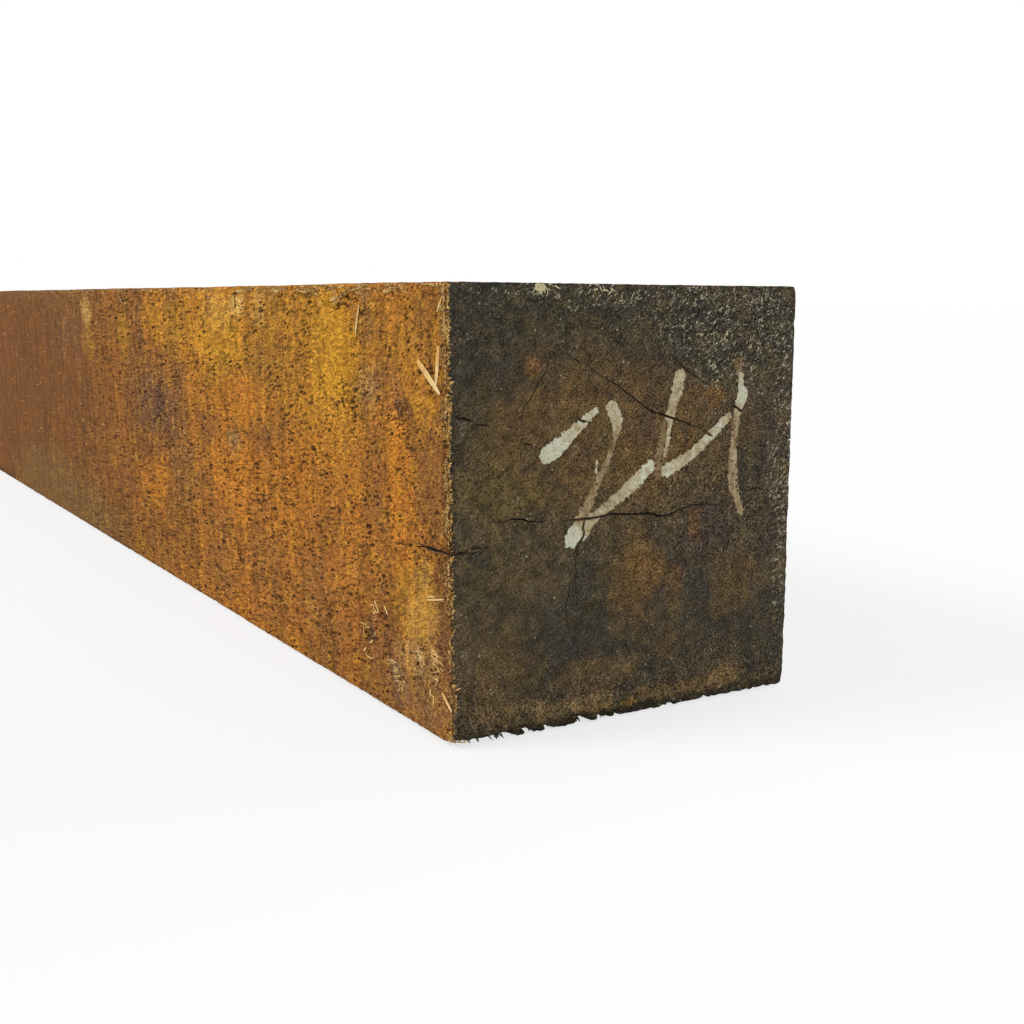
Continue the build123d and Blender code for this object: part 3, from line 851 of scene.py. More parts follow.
def sawn_timber():
    """The post from a cube: skewed like the solid, cut finer towards its marked end, and torn."""
    nothing_selected()
    bpy.ops.mesh.primitive_cube_add(size=1, location=(LOW + HIGH) / 2, scale=HIGH - LOW)
    bpy.ops.object.transform_apply(location=True, rotation=False, scale=True)
    timber = name_piece("post_timber")
    bpy.ops.object.mode_set(mode="EDIT")
    pick(timber, "verts", lambda v: v.co.y < 0 and v.co.z < HEIGHT / 2)
    bpy.ops.transform.translate(value=(0, LEAN, 0))
    pick(timber, "verts", lambda v: v.co.x > 0 and v.co.z > HEIGHT / 2)
    bpy.ops.transform.translate(value=(-RUN_OUT, 0, 0))

    def along(edge):
        return abs((edge.verts[0].co - edge.verts[1].co).normalized().x) > 0.9

    pick(timber, "edges", along)
    bpy.ops.mesh.subdivide(number_cuts=LADDER_CUTS)
    pick(timber, "edges", lambda e: not along(e))
    bpy.ops.mesh.subdivide(number_cuts=SECTION_CUTS)
    for which, near, far in FINER:
        def in_step(face):
            at, facing = face.calc_center_median(), face.normal
            if which == "seen" and facing.y > -0.9 or which == "end" and facing.x < 0.9:
                return False
            return near < (HIGH.x - at.x) / MM < far + 1

        pick(timber, "faces", in_step)
        bpy.ops.mesh.subdivide(number_cuts=1)
    bpy.ops.object.mode_set(mode="OBJECT")
    torn_surface(timber)
    apply_modifiers(timber)
    return timber


def open_checks(timber):
    """Opens the drying checks and breaks the corner, by keeping only what the solid holds."""
    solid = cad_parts["post"]
    cutter = solid.copy()
    cutter.data = solid.data.copy()
    bpy.context.collection.objects.link(cutter)
    take_up(cutter)
    bpy.ops.object.mode_set(mode="EDIT")
    bpy.ops.mesh.select_all(action="SELECT")
    bpy.ops.mesh.remove_doubles(threshold=0.001 * MM)
    bpy.ops.object.mode_set(mode="OBJECT")
    cutter.data.materials.clear()
    # The check walls take the near-black painted shade
    cutter.data.materials.append(bpy.data.materials["check_wall"])
    keep = timber.modifiers.new("checks", "BOOLEAN")
    keep.operation = "INTERSECT"
    keep.solver = "EXACT"
    keep.material_mode = "TRANSFER"
    keep.object = cutter
    apply_modifiers(timber)
    bpy.data.objects.remove(cutter)


def shows_end_grain(face):
    """Whether a face of the timber is end grain: on an end, round its arrises, or in a nick of the foot."""
    at = face.center
    near_end = abs(at.x) > LENGTH / 2 - 2.5 * MM and at.y > LOW.y + 2.5 * MM
    in_nick = at.x > HIGH.x - 9 * MM and at.y > LOW.y + 4 * MM and at.z < 4 * MM
    return in_nick or abs(face.normal.x) > (0.2 if near_end else 0.72)


class POST_OT_timber(bpy.types.Operator):
    """Saws the timber, opens its checks and weathers its faces"""
    bl_idname = "post.timber"
    bl_label = "Timber"

    def execute(self, context):
        finishes = (sawn_hardwood(), weathered_end_grain())
        check_wall()
        timber = sawn_timber()
        for finish in finishes:
            timber.data.materials.append(finish)
        open_checks(timber)
        for face in timber.data.polygons:
            if face.material_index < len(finishes):
                face.material_index = 1 if shows_end_grain(face) else 0
        take_up(timber)
        bpy.ops.object.shade_smooth_by_angle(angle=radians(55))
        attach(timber, "root")
        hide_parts("post")
        return {"FINISHED"}


def torn_strip(name, tapers, lifts):
    """A splinter one unit long, wide and thick, along X from the origin: extruded in steps from its root."""
    nothing_selected()
    bpy.ops.mesh.primitive_circle_add(vertices=5, radius=0.5, fill_type="NGON", rotation=(0, radians(90), 0))
    bpy.ops.object.transform_apply(location=False, rotation=True, scale=False)
    strip = name_piece(name)
    bpy.ops.object.mode_set(mode="EDIT")
    bpy.ops.mesh.select_all(action="SELECT")
    at = Vector((0, 0, 0))
    for taper, lift in zip(tapers, lifts):
        step = Vector((1 / len(tapers), 0, lift))
        at += step
        bpy.ops.mesh.extrude_region_move(TRANSFORM_OT_translate={"value": step})
        bpy.ops.transform.resize(value=(1, taper, taper), center_override=at)
    bpy.ops.mesh.select_all(action="SELECT")
    bpy.ops.mesh.normals_make_consistent(inside=False)
    bpy.ops.object.mode_set(mode="OBJECT")
    return strip


STRAIGHT, BENT, CURLED, FLAT = range(4)     # which of the strip models a copy is made from


def strip_models():
    """The shapes of torn strip that all fringes, tufts and splinters are copied from."""
    return [
        torn_strip("straight_fibre", (1.0, 0.75, 0.3), (0.01, 0.02, 0.02)),
        torn_strip("bent_fibre", (1.0, 0.8, 0.3), (0.10, 0.02, -0.08)),
        torn_strip("curled_fibre", (1.0, 0.9, 0.75, 0.3), (0.20, 0.16, 0.02, -0.16)),
        torn_strip("flat_splinter", (1.25, 1.05, 0.95, 0.9, 0.45), (0.004, 0.0, -0.004, 0.006, 0.0)),
    ]


def laid(start, end, outward, width, thickness):
    """Where a strip goes to run from start to end, flat side outward, with its width and thickness in mm."""
    run = end - start
    along = run.normalized()
    across = outward.cross(along).normalized()
    up = along.cross(across)
    basis = Matrix((along * run.length, across * width * MM, up * thickness * MM)).transposed()
    return Matrix.Translation(start) @ basis.to_4x4()


def planted(name, models, places):
    """One piece made of many copies of small models: each place names its model and says where it goes."""
    points, faces, along = [], [], []
    for model, matrix in places:
        shape = models[model].data
        faces += [[len(points) + i for i in face.vertices] for face in shape.polygons]
        points += [matrix @ vertex.co for vertex in shape.vertices]
        along += [vertex.co.x for vertex in shape.vertices]
    mesh = bpy.data.meshes.new(name)
    mesh.from_pydata(points, [], faces)
    mesh.attributes.new("along", "FLOAT", "POINT").data.foreach_set("value", along)
    piece = bpy.data.objects.new(name, mesh)
    bpy.context.collection.objects.link(piece)
    for model in models:
        bpy.data.objects.remove(model)
    return piece


ENDWARD = Vector((1, 0, 0))
SIDEWARD = Vector((0, -1, 0))
OFF_CHIPS = 1.8     # bristles take their depth this far back from the end, in mm, where nothing is chipped


def bristle(dice, back, up, heading, length, width):
    """One fibre from the seen side towards the end, and over the upright arris where it is long enough."""
    over = length * cos(radians(heading)) - back
    tip_up = max(0.4, min(124.3, up + length * sin(radians(heading))))
    root = surface_under(on_side(back + OFF_CHIPS, up), SIDEWARD, -0.12)
    root.x = on_end(0, up).x - back * MM
    if over > 0:
        tip = on_end(0, tip_up, dice.uniform(-0.5, 0.1))
        tip.y = root.y + over * 0.85 * MM
        outward = Vector((0.8, -0.6, 0))
    else:
        tip = surface_under(on_side(OFF_CHIPS - over, tip_up), SIDEWARD, dice.uniform(0.1, 0.5))
        tip.x = on_end(0, tip_up).x + over * MM
        outward = SIDEWARD
    model = dice.choice((STRAIGHT, BENT, BENT, CURLED))
    return model, laid(root, tip, outward, width, width * 0.7)


def fringe(dice):
    """Fibres that the docking saw combed over the upright arris: short wool, edge bristles and clumps."""
    for _ in range(1900):
        up = dice.uniform(1.0, 124.0)
        if dice.random() < (0.42 if up > 52 else 0.08) + 1.5 * noise.noise(Vector((0.4, 0.7, up * 0.27))):
            heading = 22 + 45 * noise.noise(Vector((0.1, up * 0.12, 0.3))) + dice.gauss(0, 32)
            yield bristle(dice, 0.2 + 3.8 * dice.random() ** 1.3, up, heading, dice.uniform(0.7, 1.9),
                          dice.uniform(0.24, 0.44))
    for _ in range(270):
        up = 124 - 122 * dice.random() ** 1.6
        yield bristle(dice, dice.uniform(0.1, 0.9), up, dice.gauss(28, 20), dice.uniform(0.8, 1.9),
                      dice.uniform(0.3, 0.5))
    for _ in range(80):
        back, up = dice.uniform(0.3, 2.0), 124 - 122 * dice.random() ** 1.5
        heading = dice.choice((-30, 22, 30, 45))
        for _ in range(dice.randint(3, 6)):
            yield bristle(dice, back + dice.uniform(0, 0.6), up + dice.gauss(0, 0.6),
                          heading + dice.gauss(0, 12), dice.uniform(1.2, 2.6), dice.uniform(0.35, 0.6))


def crown_fringe(dice):
    """Torn strips and wool along the seen side's top arris, in patches that thin out to the back."""
    for _ in range(620):
        back = 0.5 + 520 * dice.random() ** 1.7
        if dice.random() > 0.6 + 1.2 * noise.noise(Vector((back * 0.06, 0.2, 0.9))):
            continue
        up = 124.6 - abs(dice.gauss(0, 1.2)) - 0.3
        length = dice.uniform(1.0, 3.5) if dice.random() < 0.8 else dice.uniform(4, 9)
        slope = dice.gauss(0.1, 0.4)
        start = surface_under(on_side(back, up), SIDEWARD, -0.1)
        end_back, end_up = back - length, min(124.2, up + slope * min(length, 4))
        if end_back < 0.3:
            continue
        tip = surface_under(on_side(end_back, end_up), SIDEWARD, dice.uniform(0.05, 0.35))
        width = dice.uniform(0.3, 0.6)
        yield dice.choice((STRAIGHT, BENT, FLAT)), laid(start, tip, SIDEWARD, width, dice.uniform(0.2, 0.35))


# Ridges torn up along the seen side's top arris: back and up of both ends, and width
CROWN_RIDGES = [
    (61.0, 122.2, 74.0, 119.8, 1.1),
    (58.0, 123.2, 66.0, 121.6, 0.9),
    (66.0, 120.4, 73.0, 118.6, 0.8),
    (84.0, 123.0, 96.0, 122.4, 0.9),
    (28.0, 123.4, 37.0, 122.2, 0.9),
    (108.0, 123.6, 120.0, 122.6, 1.0),
    (140.0, 123.4, 156.0, 122.8, 1.1),
]
# Single stout fibres over the upright arris: up at the arris, across and up of the tip on the end, and width
ARRIS_FIBRES = [
    (98.5, 2.6, 99.2, 1.1),
    (97.6, 1.9, 96.6, 0.8),
    (16.0, 4.2, 16.8, 0.6),
    (88.0, 2.0, 86.9, 0.6),
    (84.4, 1.8, 86.2, 0.7),
    (76.5, 1.6, 78.2, 0.7),
    (72.0, 1.8, 70.6, 0.6),
    (118.8, 1.4, 117.8, 0.8),
]


def ridges_and_stubs():
    """The torn ridges of the top arris and the stout fibres of the upright one."""
    for back, up, end_back, end_up, width in CROWN_RIDGES:
        start = surface_under(on_side(back, up), SIDEWARD, 0.1)
        tip = surface_under(on_side(end_back, end_up), SIDEWARD, 0.2)
        yield FLAT, laid(start, tip, SIDEWARD, width, 0.5)
    for up, across, tip_up, width in ARRIS_FIBRES:
        start = surface_under(on_side(2.6, up), SIDEWARD)
        tip = surface_under(on_end(across, tip_up), ENDWARD, 0.35)
        start.x = tip.x - 0.5 * MM
        yield STRAIGHT, laid(start, tip, Vector((1, -0.6, 0)).normalized(), width, width * 0.6)


def corner_curls(dice):
    """Longer fibres curling out of the broken bottom corner."""
    for _ in range(12):
        back, up = dice.uniform(1.5, 5), dice.uniform(2.0, 6.0)
        start = surface_under(on_side(back, up), SIDEWARD)
        tip = on_end(dice.uniform(1.0, 6.0), dice.uniform(0.6, 4.0), -dice.uniform(0.1, 0.6))
        yield dice.choice((BENT, CURLED, CURLED)), laid(start, tip, Vector((0.6, -0.6, -0.4)), 0.45, 0.35)


class POST_OT_fibres(bpy.types.Operator):
    """Frays the upright and top arrises and the broken corner"""
    bl_idname = "post.fibres"
    bl_label = "Frayed arrises"

    def execute(self, context):
        dice = random.Random(24)
        places = [*fringe(dice), *crown_fringe(dice), *ridges_and_stubs(), *corner_curls(dice)]
        finish_piece(planted("arris_fibres", strip_models(), places), torn_fibre())
        return {"FINISHED"}


# Splinters lying on the seen side: back and up of both ends, width and thickness
SIDE_SPLINTERS = [
    (16.5, 103.9, 4.4, 95.8, 1.5, 0.6),
    (5.1, 108.3, 6.5, 97.8, 1.2, 0.5),
    (53.2, 118.5, 55.8, 110.1, 0.8, 0.4),
    (13.7, 39.6, 0.2, 42.4, 0.6, 0.4),
    (14.2, 38.6, 4.0, 40.8, 0.5, 0.3),
    (52.2, 18.2, 56.0, 14.1, 0.7, 0.4),
    (47.3, 31.7, 45.4, 28.4, 0.5, 0.3),
    (41.0, 31.5, 38.6, 29.2, 0.5, 0.3),
    (12.3, 13.7, 12.9, 11.2, 0.5, 0.4),
    (5.8, 14.3, 0.4, 10.5, 0.7, 0.5),
    (2.4, 121.5, 5.4, 117.0, 0.5, 0.3),
]
# Tufts of pale wool on the seen side: back and up of the middle, spread back and up, strands
SIDE_TUFTS = [
    (19.6, 22.4, 1.3, 0.7, 16),
    (17.6, 21.8, 1.2, 1.6, 18),
    (10.4, 24.6, 1.0, 0.8, 14),
    (8.6, 22.8, 1.0, 0.6, 6),
    (10.6, 20.4, 1.0, 1.0, 10),
    (9.8, 17.6, 1.2, 0.8, 8),
    (36.6, 15.6, 1.2, 0.6, 8),
    (34.0, 13.2, 1.0, 1.2, 12),
    (31.6, 9.8, 1.0, 1.2, 8),
    (48.2, 28.0, 1.0, 2.0, 9),
    (55.5, 22.5, 1.0, 1.0, 8),
    (50.5, 21.0, 1.0, 0.8, 6),
    (51.8, 12.9, 0.8, 0.5, 5),
    (11.0, 11.4, 0.5, 1.0, 5),
]


def tufts(dice):
    """Each strand of the wool lifts off the side a little, and most hang downward."""
    for back, up, spread, spread_up, strands in SIDE_TUFTS:
        for _ in range(strands):
            at_back, at_up = dice.gauss(back, spread * 0.6), dice.gauss(up, spread_up * 0.6)
            start = surface_under(on_side(at_back, at_up), SIDEWARD)
            end_back = max(0.5, at_back + dice.gauss(0, 1.5))
            end_up = max(0.6, at_up + dice.gauss(-0.3, 0.9))
            tip = surface_under(on_side(end_back, end_up), SIDEWARD, dice.uniform(0.1, 0.5))
            model = dice.choice((STRAIGHT, BENT, CURLED))
            yield model, laid(start, tip, SIDEWARD, dice.uniform(0.26, 0.46), 0.3)


class POST_OT_splinters(bpy.types.Operator):
    """Lays the loose splinters and the wool on the seen side"""
    bl_idname = "post.splinters"
    bl_label = "Side splinters"

    def execute(self, context):
        dice = random.Random(7)
        places = []
        for back, up, end_back, end_up, width, thick in SIDE_SPLINTERS:
            start = surface_under(on_side(back, up), SIDEWARD, 0.2)
            tip = surface_under(on_side(max(end_back, 0.6), end_up), SIDEWARD, 0.3)
            tip.x = min(HIGH.x, tip.x + max(0, -end_back + 0.6) * MM)
            places.append((FLAT, laid(start, tip, SIDEWARD, width, thick)))
        places += tufts(dice)
        finish_piece(planted("side_splinters", strip_models(), places), pale_splinter())
        return {"FINISHED"}


def nick_strips(dice):
    """Torn strips that hang in the nicks of the marked end's foot."""
    for across, half in FOOT_NICKS:
        for _ in range(int(3 + half * 1.5)):
            root_across = across + dice.uniform(-1.3, 1.1) * half
            start = surface_under(on_end(root_across, dice.uniform(1.6, 3.0)), ENDWARD, -0.3)
            tip_across = root_across + dice.uniform(0.7, 1.8)
            tip = on_end(tip_across, dice.uniform(0.1, 0.8), -dice.uniform(0.3, 1.5))
            yield dice.choice((STRAIGHT, BENT)), laid(start, tip, ENDWARD, dice.uniform(0.3, 0.7), 0.35)


def foot_crust(dice):
    """Short broken fibre in the crust over the marked end's foot, in patches."""
    for _ in range(1500):
        across, up = dice.uniform(12, 118), 2.2 + abs(dice.gauss(0, 3.4))
        if dice.random() > 0.5 + 1.3 * noise.noise(Vector((across * 0.14, up * 0.3, 2.0))):
            continue
        start = surface_under(on_end(across, up), ENDWARD, -0.15)
        tip = start + Vector((dice.uniform(0.1, 0.35), dice.gauss(0.2, 0.9), dice.gauss(0, 0.8))) * MM
        yield dice.choice((BENT, CURLED, CURLED)), laid(start, tip, ENDWARD, dice.uniform(0.22, 0.4), 0.3)


# Tufts along the marked end's head: across, spread and strands
HEAD_TUFTS = [(28.9, 1.0, 44), (30.5, 2.2, 12), (48.0, 1.2, 9), (52.0, 2.4, 7)]


def head_tufts(dice):
    """Pale fibre that the saw left standing along the marked end's head."""
    for middle, spread, strands in HEAD_TUFTS:
        for _ in range(strands):
            across = min(120.5, dice.gauss(middle, spread))
            start = surface_under(on_end(across, dice.uniform(122.9, 124.7)), ENDWARD, -0.1)
            tip = start + Vector((dice.uniform(0.1, 0.4), dice.gauss(0.1, 0.7), dice.gauss(-0.8, 0.7))) * MM
            yield dice.choice((BENT, CURLED)), laid(start, tip, ENDWARD, dice.uniform(0.25, 0.5), 0.35)


class POST_OT_tear_out(bpy.types.Operator):
    """Leaves torn strips in the nicks of the marked end's foot, and tufts along its head"""
    bl_idname = "post.tear_out"
    bl_label = "End tear-out"

    def execute(self, context):
        dice = random.Random(31)
        places = [*nick_strips(dice), *foot_crust(dice), *head_tufts(dice)]
        finish_piece(planted("end_tear_out", strip_models(), places), dirty_fibre())
        return {"FINISHED"}


# Strokes of the number on the marked end: across, up, half width and wear of the paint, along each stroke
NUMBER_STROKES = [
    [(31.6, 78.2, 2.5, 0.15), (34.5, 80.0, 2.7, 0.0), (37.8, 82.3, 2.2, 0.15), (41.1, 84.9, 1.7, 0.35),
     (45.1, 88.0, 1.5, 0.2), (47.8, 89.9, 1.0, 0.3)],
    [(53.4, 90.6, 2.1, 0.4), (55.2, 87.4, 2.2, 0.35), (55.0, 84.6, 1.5, 0.5), (54.5, 81.5, 0.8, 0.9),
     (52.6, 76.5, 1.0, 0.85), (50.8, 73.2, 1.1, 0.85), (48.6, 69.5, 1.3, 0.9), (46.6, 65.5, 1.6, 0.8),
     (44.4, 61.7, 1.8, 0.85), (42.4, 58.0, 2.2, 0.6), (41.3, 55.6, 2.9, 0.15), (40.4, 54.2, 2.8, 0.05)],
    [(43.5, 55.4, 2.2, 0.35), (46.2, 58.7, 1.8, 0.5), (51.6, 62.2, 1.6, 0.55), (57.2, 65.6, 1.9, 0.55),
     (62.8, 69.5, 2.1, 0.3), (67.3, 73.3, 1.8, 0.05)],
    [(77.6, 99.0, 2.1, 0.45), (76.8, 95.4, 2.1, 0.5), (75.2, 90.6, 1.9, 0.6), (74.2, 87.4, 1.8, 0.45),
     (73.7, 84.4, 1.1, 0.5), (73.2, 79.0, 0.9, 0.4), (72.4, 76.0, 0.8, 0.6)],
    [(73.2, 71.6, 2.2, 0.15), (77.0, 73.0, 1.9, 0.4), (81.8, 75.4, 1.7, 0.45), (87.0, 79.0, 1.6, 0.35),
     (92.3, 83.0, 1.5, 0.25), (96.4, 86.6, 1.3, 0.6)],
    [(100.8, 98.4, 1.0, 0.35), (100.7, 95.4, 1.2, 0.25), (101.7, 93.2, 2.1, 0.1), (100.9, 90.8, 2.0, 0.15),
     (99.6, 87.0, 1.4, 0.6), (99.0, 80.7, 1.5, 0.85), (98.4, 74.6, 1.6, 0.8), (98.7, 69.0, 1.9, 0.75),
     (99.2, 64.5, 1.9, 0.8), (100.9, 60.6, 1.3, 0.7), (102.2, 57.4, 1.4, 0.65)],
    [(72.6, 85.0, 1.4, 1.15), (71.0, 79.0, 1.7, 1.05), (70.2, 74.0, 1.8, 1.0), (70.0, 70.4, 1.5, 1.1)],
    [(48.1, 75.8, 0.3, 0.3), (48.3, 72.4, 0.4, 0.2)],
    [(100.6, 102.6, 1.2, 1.2), (100.2, 100.6, 1.0, 1.2)],
]
# Where the paint has split over the fine ends of checks: across and up, along each split
PAINT_SPLITS = [
    [(38.0, 59.7), (41.1, 59.7), (45.1, 59.6), (50.3, 59.7)],
    [(44.5, 59.4), (43.7, 57.0), (44.4, 56.1), (43.8, 54.6), (42.0, 52.5), (41.6, 50.0)],
]
SPLIT_HALF = 0.2    # half the width of a split, in mm
NUMBER_ACROSS = (26, 108)       # the part of the end that the number lies in, in mm
NUMBER_UP = (48, 104)
PAINT_CELL = 0.33   # the paint film is modelled in cells of this size, in mm
CHECK_FROM = 2.3 * MM   # the end's own relief is never this deep, so what lies deeper is a check


def off_line(across, up, start, end):
    """How far a place on the end is from the line between two points, in mm, and the share along it there."""
    run, rise = end[0] - start[0], end[1] - start[1]
    share = ((across - start[0]) * run + (up - start[1]) * rise) / (run * run + rise * rise)
    share = max(0.0, min(1.0, share))
    return ((across - start[0] - share * run) ** 2 + (up - start[1] - share * rise) ** 2) ** 0.5, share


def stroke_at(across, up):
    """How far a place on the end lies inside the nearest stroke, in mm, and how worn the paint is there."""
    best, worn = -9.0, 0.0
    for stroke in NUMBER_STROKES:
        for start, end in zip(stroke, stroke[1:]):
            off, share = off_line(across, up, start, end)
            inside = start[2] + share * (end[2] - start[2]) - off
            if inside > best:
                best, worn = inside, start[3] + share * (end[3] - start[3])
    return best, worn


def painted(across, up):
    """Whether paint sticks at a place: inside a stroke's ragged border, not worn through and not split."""
    inside, worn = stroke_at(across, up)
    coarse = noise.noise(Vector((across, up, 0)) * 0.8)
    fine = noise.noise(Vector((across, up, 5)) * 2.1)
    if inside + (0.5 * coarse + 0.5 * fine) < 0:
        return False
    hole = noise.noise(Vector((across, up, 9)) * 1.1) + 0.7 * noise.noise(Vector((across, up, 13)) * 2.8)
    if hole >= 1.0 - 0.8 * worn + 0.15 * inside:
        return False
    return all(off_line(across, up, start, end)[0] >= SPLIT_HALF
               for split in PAINT_SPLITS for start, end in zip(split, split[1:]))


def bare(face):
    """Whether a cell of the paint film comes away: nothing was brushed there, or a check gapes under it."""
    at = face.calc_center_median()
    if not painted((at.y - LOW.y) / MM, at.z / MM):
        return True
    about = [vertex.co for vertex in face.verts] + [at + Vector((0, 0, step * MM)) for step in (-0.2, 0, 0.2)]
    return any(surface_under(place, ENDWARD).x < HIGH.x - CHECK_FROM for place in about)


def paint_film():
    """The number as a flat film: a grid over its place on the end, with the bare cells taken out."""
    nothing_selected()
    wide, high = NUMBER_ACROSS[1] - NUMBER_ACROSS[0], NUMBER_UP[1] - NUMBER_UP[0]
    bpy.ops.mesh.primitive_grid_add(
        x_subdivisions=int(high / PAINT_CELL), y_subdivisions=int(wide / PAINT_CELL), size=1,
        location=on_end(sum(NUMBER_ACROSS) / 2, sum(NUMBER_UP) / 2, 3), rotation=(0, pi / 2, 0))
    bpy.context.object.scale = (high * MM, wide * MM, 1)
    bpy.ops.object.transform_apply()
    film = name_piece("length_number")
    bpy.ops.object.mode_set(mode="EDIT")
    pick(film, "faces", bare)
    bpy.ops.mesh.delete(type="FACE")
    bpy.ops.mesh.select_all(action="SELECT")
    bpy.ops.mesh.region_to_loop()
    bpy.ops.mesh.vertices_smooth(factor=0.5, repeat=2)
    bpy.ops.object.mode_set(mode="OBJECT")
    return film


class POST_OT_number(bpy.types.Operator):
    """Brushes the length number on the marked end"""
    bl_idname = "post.number"
    bl_label = "Number"

    def execute(self, context):
        number = paint_film()
        wear = number.data.attributes.new("wear", "FLOAT", "POINT")
        for vertex in number.data.vertices:
            inside, worn = stroke_at((vertex.co.y - LOW.y) / MM, vertex.co.z / MM)
            wear.data[vertex.index].value = worn
            timber_face = surface_under(vertex.co.copy(), ENDWARD)
            vertex.co.x = max(timber_face.x, HIGH.x - 2.2 * MM) + 0.03 * MM
        skin = number.modifiers.new("skin", "SOLIDIFY")
        skin.thickness = sizes().paint_thickness
        skin.offset = 1
        apply_modifiers(number)
        finish_piece(number, brushed_paint())
        return {"FINISHED"}


class POST_OT_grit(bpy.types.Operator):
    """Dusts the marked end with pale grains of sand and broken fibre"""
    bl_idname = "post.grit"
    bl_label = "End grit"

    def execute(self, context):
        dice = random.Random(12)
        nothing_selected()
        bpy.ops.mesh.primitive_uv_sphere_add(segments=4, ring_count=2, radius=1)
        model = name_piece("grain_of_grit")
        places = []
        for _ in range(4600):
            across, up = dice.uniform(0.8, 121.2), dice.uniform(0.8, 124.2)
            to_far_head = max(0, (across - 50) / 72) ** 1.2 * max(0, (up - 40) / 85)
            dusty = 0.16 + 0.9 * to_far_head + 0.25 * (across > 108)
            dusty += 0.5 * noise.noise(Vector((across, up, 3)) * 0.12)
            if dice.random() > dusty or stroke_at(across, up)[0] > -0.5:
                continue
            spot = surface_under(on_end(across, up), ENDWARD)
            if spot.x < HIGH.x - 2 * MM:
                continue
            size = 0.09 + 0.2 * dice.random() ** 4
            shape = Matrix.Diagonal((size * 0.6, size * dice.uniform(0.6, 1.4), size, 1 / MM)) * MM
            turn = Euler((dice.uniform(0, pi), 0, 0)).to_matrix().to_4x4()
            places.append((0, Matrix.Translation(spot) @ turn @ shape))
        finish_piece(planted("end_grit", [model], places), pale_grit())
        return {"FINISHED"}


# Camera, lamps and floor

CAMERA_PLACE = Vector((1489.8, -219.6, 119.8)) * MM
CAMERA_AZIMUTH = radians(58.35)
CAMERA_ELEVATION = radians(9.36)
CAMERA_ROLL = radians(0.36)
CAMERA_LENS = 44.9      # mm, on a sensor 36 mm wide

# Each soft sun: where it stands, from the post, its share of full light, and its width in the sky
SUNS = {
    "key": ((-0.30, -0.80, 0.60), 0.62, 25),
    "end_fill": ((0.90, -0.15, 0.45), 0.50, 40),
    "back_fill": ((-0.20, 0.80, 0.40), 0.35, 40),
}
SKY_SHARE = 0.5


def floor_paint():
    """Matt white floor. What the camera sees is mostly plain white, under the post's soft shadow."""
    material = bpy.data.materials.new("floor_paint")
    material.use_nodes = True
    tree = material.node_tree
    tree.nodes.clear()
    seen = add_node(tree, "LightPath")
    white = add_node(tree, "Emission", {"Color": (1, 1, 1, 1), "Strength": 1.0})
    matt = add_node(tree, "BsdfDiffuse", {"Color": (0.8, 0.8, 0.8, 1)})
    share = add_node(tree, "Math", [seen, 0.7], operation="MULTIPLY")
    surface = add_node(tree, "MixShader", [share, matt, white])
    tree.links.new(surface, tree.nodes.new("ShaderNodeOutputMaterial").inputs["Surface"])
    return material


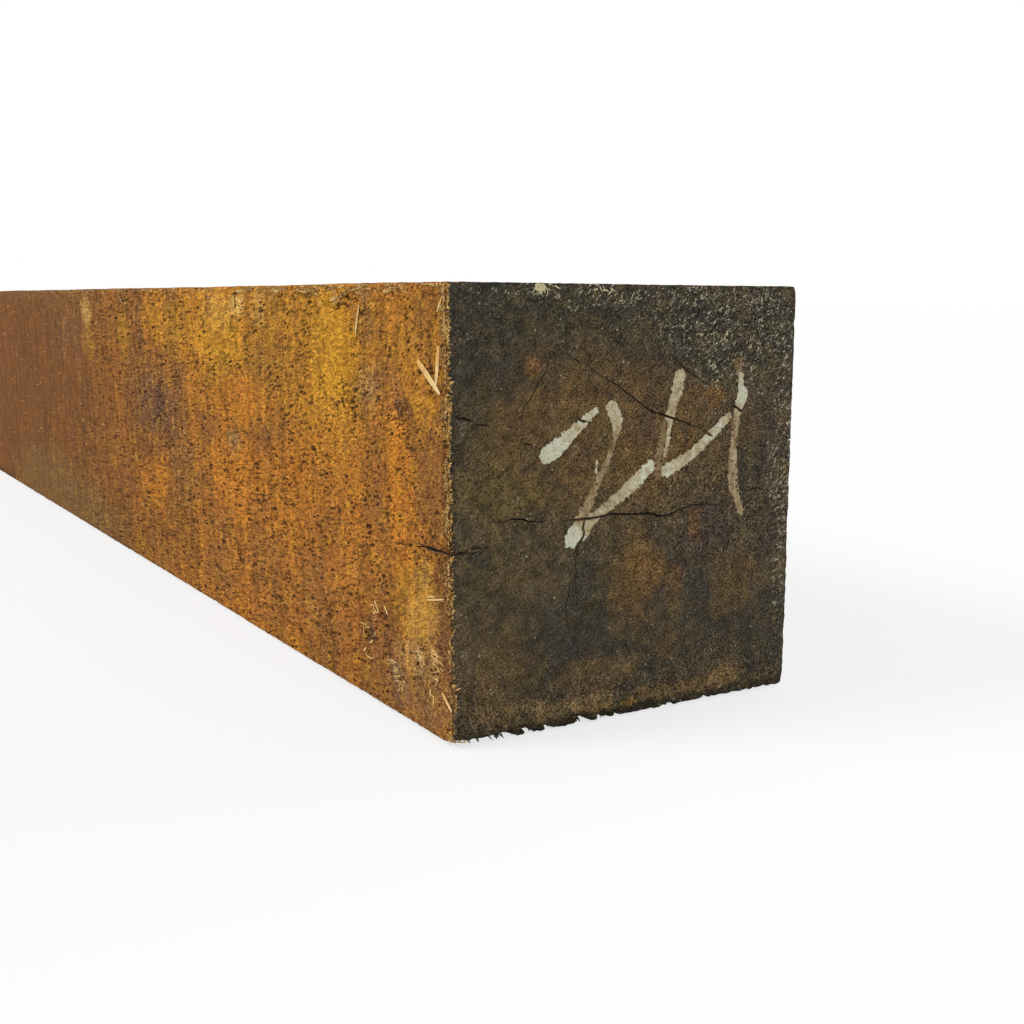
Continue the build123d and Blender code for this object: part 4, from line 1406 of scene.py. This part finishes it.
class POST_OT_stage(bpy.types.Operator):
    """Sets the camera, the pale floor, the soft suns and the sky"""
    bl_idname = "post.stage"
    bl_label = "Stage"

    def execute(self, context):
        nothing_selected()
        level = cos(CAMERA_ELEVATION)
        away = Vector((sin(CAMERA_AZIMUTH) * level, -cos(CAMERA_AZIMUTH) * level, sin(CAMERA_ELEVATION)))
        bpy.ops.object.camera_add(location=CAMERA_PLACE)
        camera = context.object
        camera.rotation_euler = (
            away.to_track_quat("Z", "Y").to_matrix() @ Matrix.Rotation(CAMERA_ROLL, 3, "Z")).to_euler()
        camera.data.lens = CAMERA_LENS
        camera.data.sensor_width = 36
        camera.data.clip_start = 0.01
        context.scene.camera = camera
        context.scene.view_settings.view_transform = "Standard"

        for name, (place, share, width) in SUNS.items():
            bpy.ops.object.light_add(type="SUN", location=place)
            sun = context.object
            sun.name = name
            sun.rotation_euler = Vector(place).to_track_quat("Z", "Y").to_euler()
            sun.data.energy = share * pi
            sun.data.angle = radians(width)

        world = bpy.data.worlds.new("pale_sky")
        context.scene.world = world
        world.use_nodes = True
        tree = world.node_tree
        tree.nodes.clear()
        rays = add_node(tree, "LightPath")
        white = add_node(tree, "Math", [rays, rays.node.outputs["Is Glossy Ray"]], operation="MAXIMUM")
        strength = add_node(tree, "MapRange", [white, 0.0, 1.0, SKY_SHARE, 1.0])
        sky = add_node(tree, "Background", {"Color": (1, 1, 1, 1), "Strength": strength})
        tree.links.new(sky, tree.nodes.new("ShaderNodeOutputWorld").inputs["Surface"])

        nothing_selected()
        bpy.ops.mesh.primitive_plane_add(size=60, location=(0, 0, -0.5 * MM))
        floor = name_piece("floor")
        floor.data.materials.append(floor_paint())
        floor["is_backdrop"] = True
        return {"FINISHED"}


class POST_PT_panel(bpy.types.Panel):
    bl_label = "Hardwood post"
    bl_idname = "POST_PT_panel"
    bl_space_type = "VIEW_3D"
    bl_region_type = "UI"
    bl_category = "Post"

    def draw(self, context):
        for group in (context.scene.post_sizes, context.scene.post_colours):
            box = self.layout.box()
            for name in group.__annotations__:
                box.prop(group, name)
        for operator in OPERATORS:
            self.layout.operator(operator.bl_idname)


OPERATORS = (POST_OT_timber, POST_OT_fibres, POST_OT_splinters, POST_OT_tear_out, POST_OT_number,
             POST_OT_grit, POST_OT_stage)
CLASSES = (PostSizes, PostColours, *OPERATORS, POST_PT_panel)


def register():
    for cls in CLASSES:
        bpy.utils.register_class(cls)
    bpy.types.Scene.post_sizes = bpy.props.PointerProperty(type=PostSizes)
    bpy.types.Scene.post_colours = bpy.props.PointerProperty(type=PostColours)


def unregister():
    del bpy.types.Scene.post_colours
    del bpy.types.Scene.post_sizes
    for cls in reversed(CLASSES):
        bpy.utils.unregister_class(cls)


def main():
    register()
    bpy.ops.post.timber()
    bpy.ops.post.fibres()
    bpy.ops.post.splinters()
    bpy.ops.post.tear_out()
    bpy.ops.post.number()
    bpy.ops.post.grit()
    bpy.ops.post.stage()
    boxes = {"solid": SOLID_BOX, "dressed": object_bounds()}
    boxes = {name: [list(corner) for corner in box] for name, box in boxes.items()}


if __name__ == "__main__":
    main()
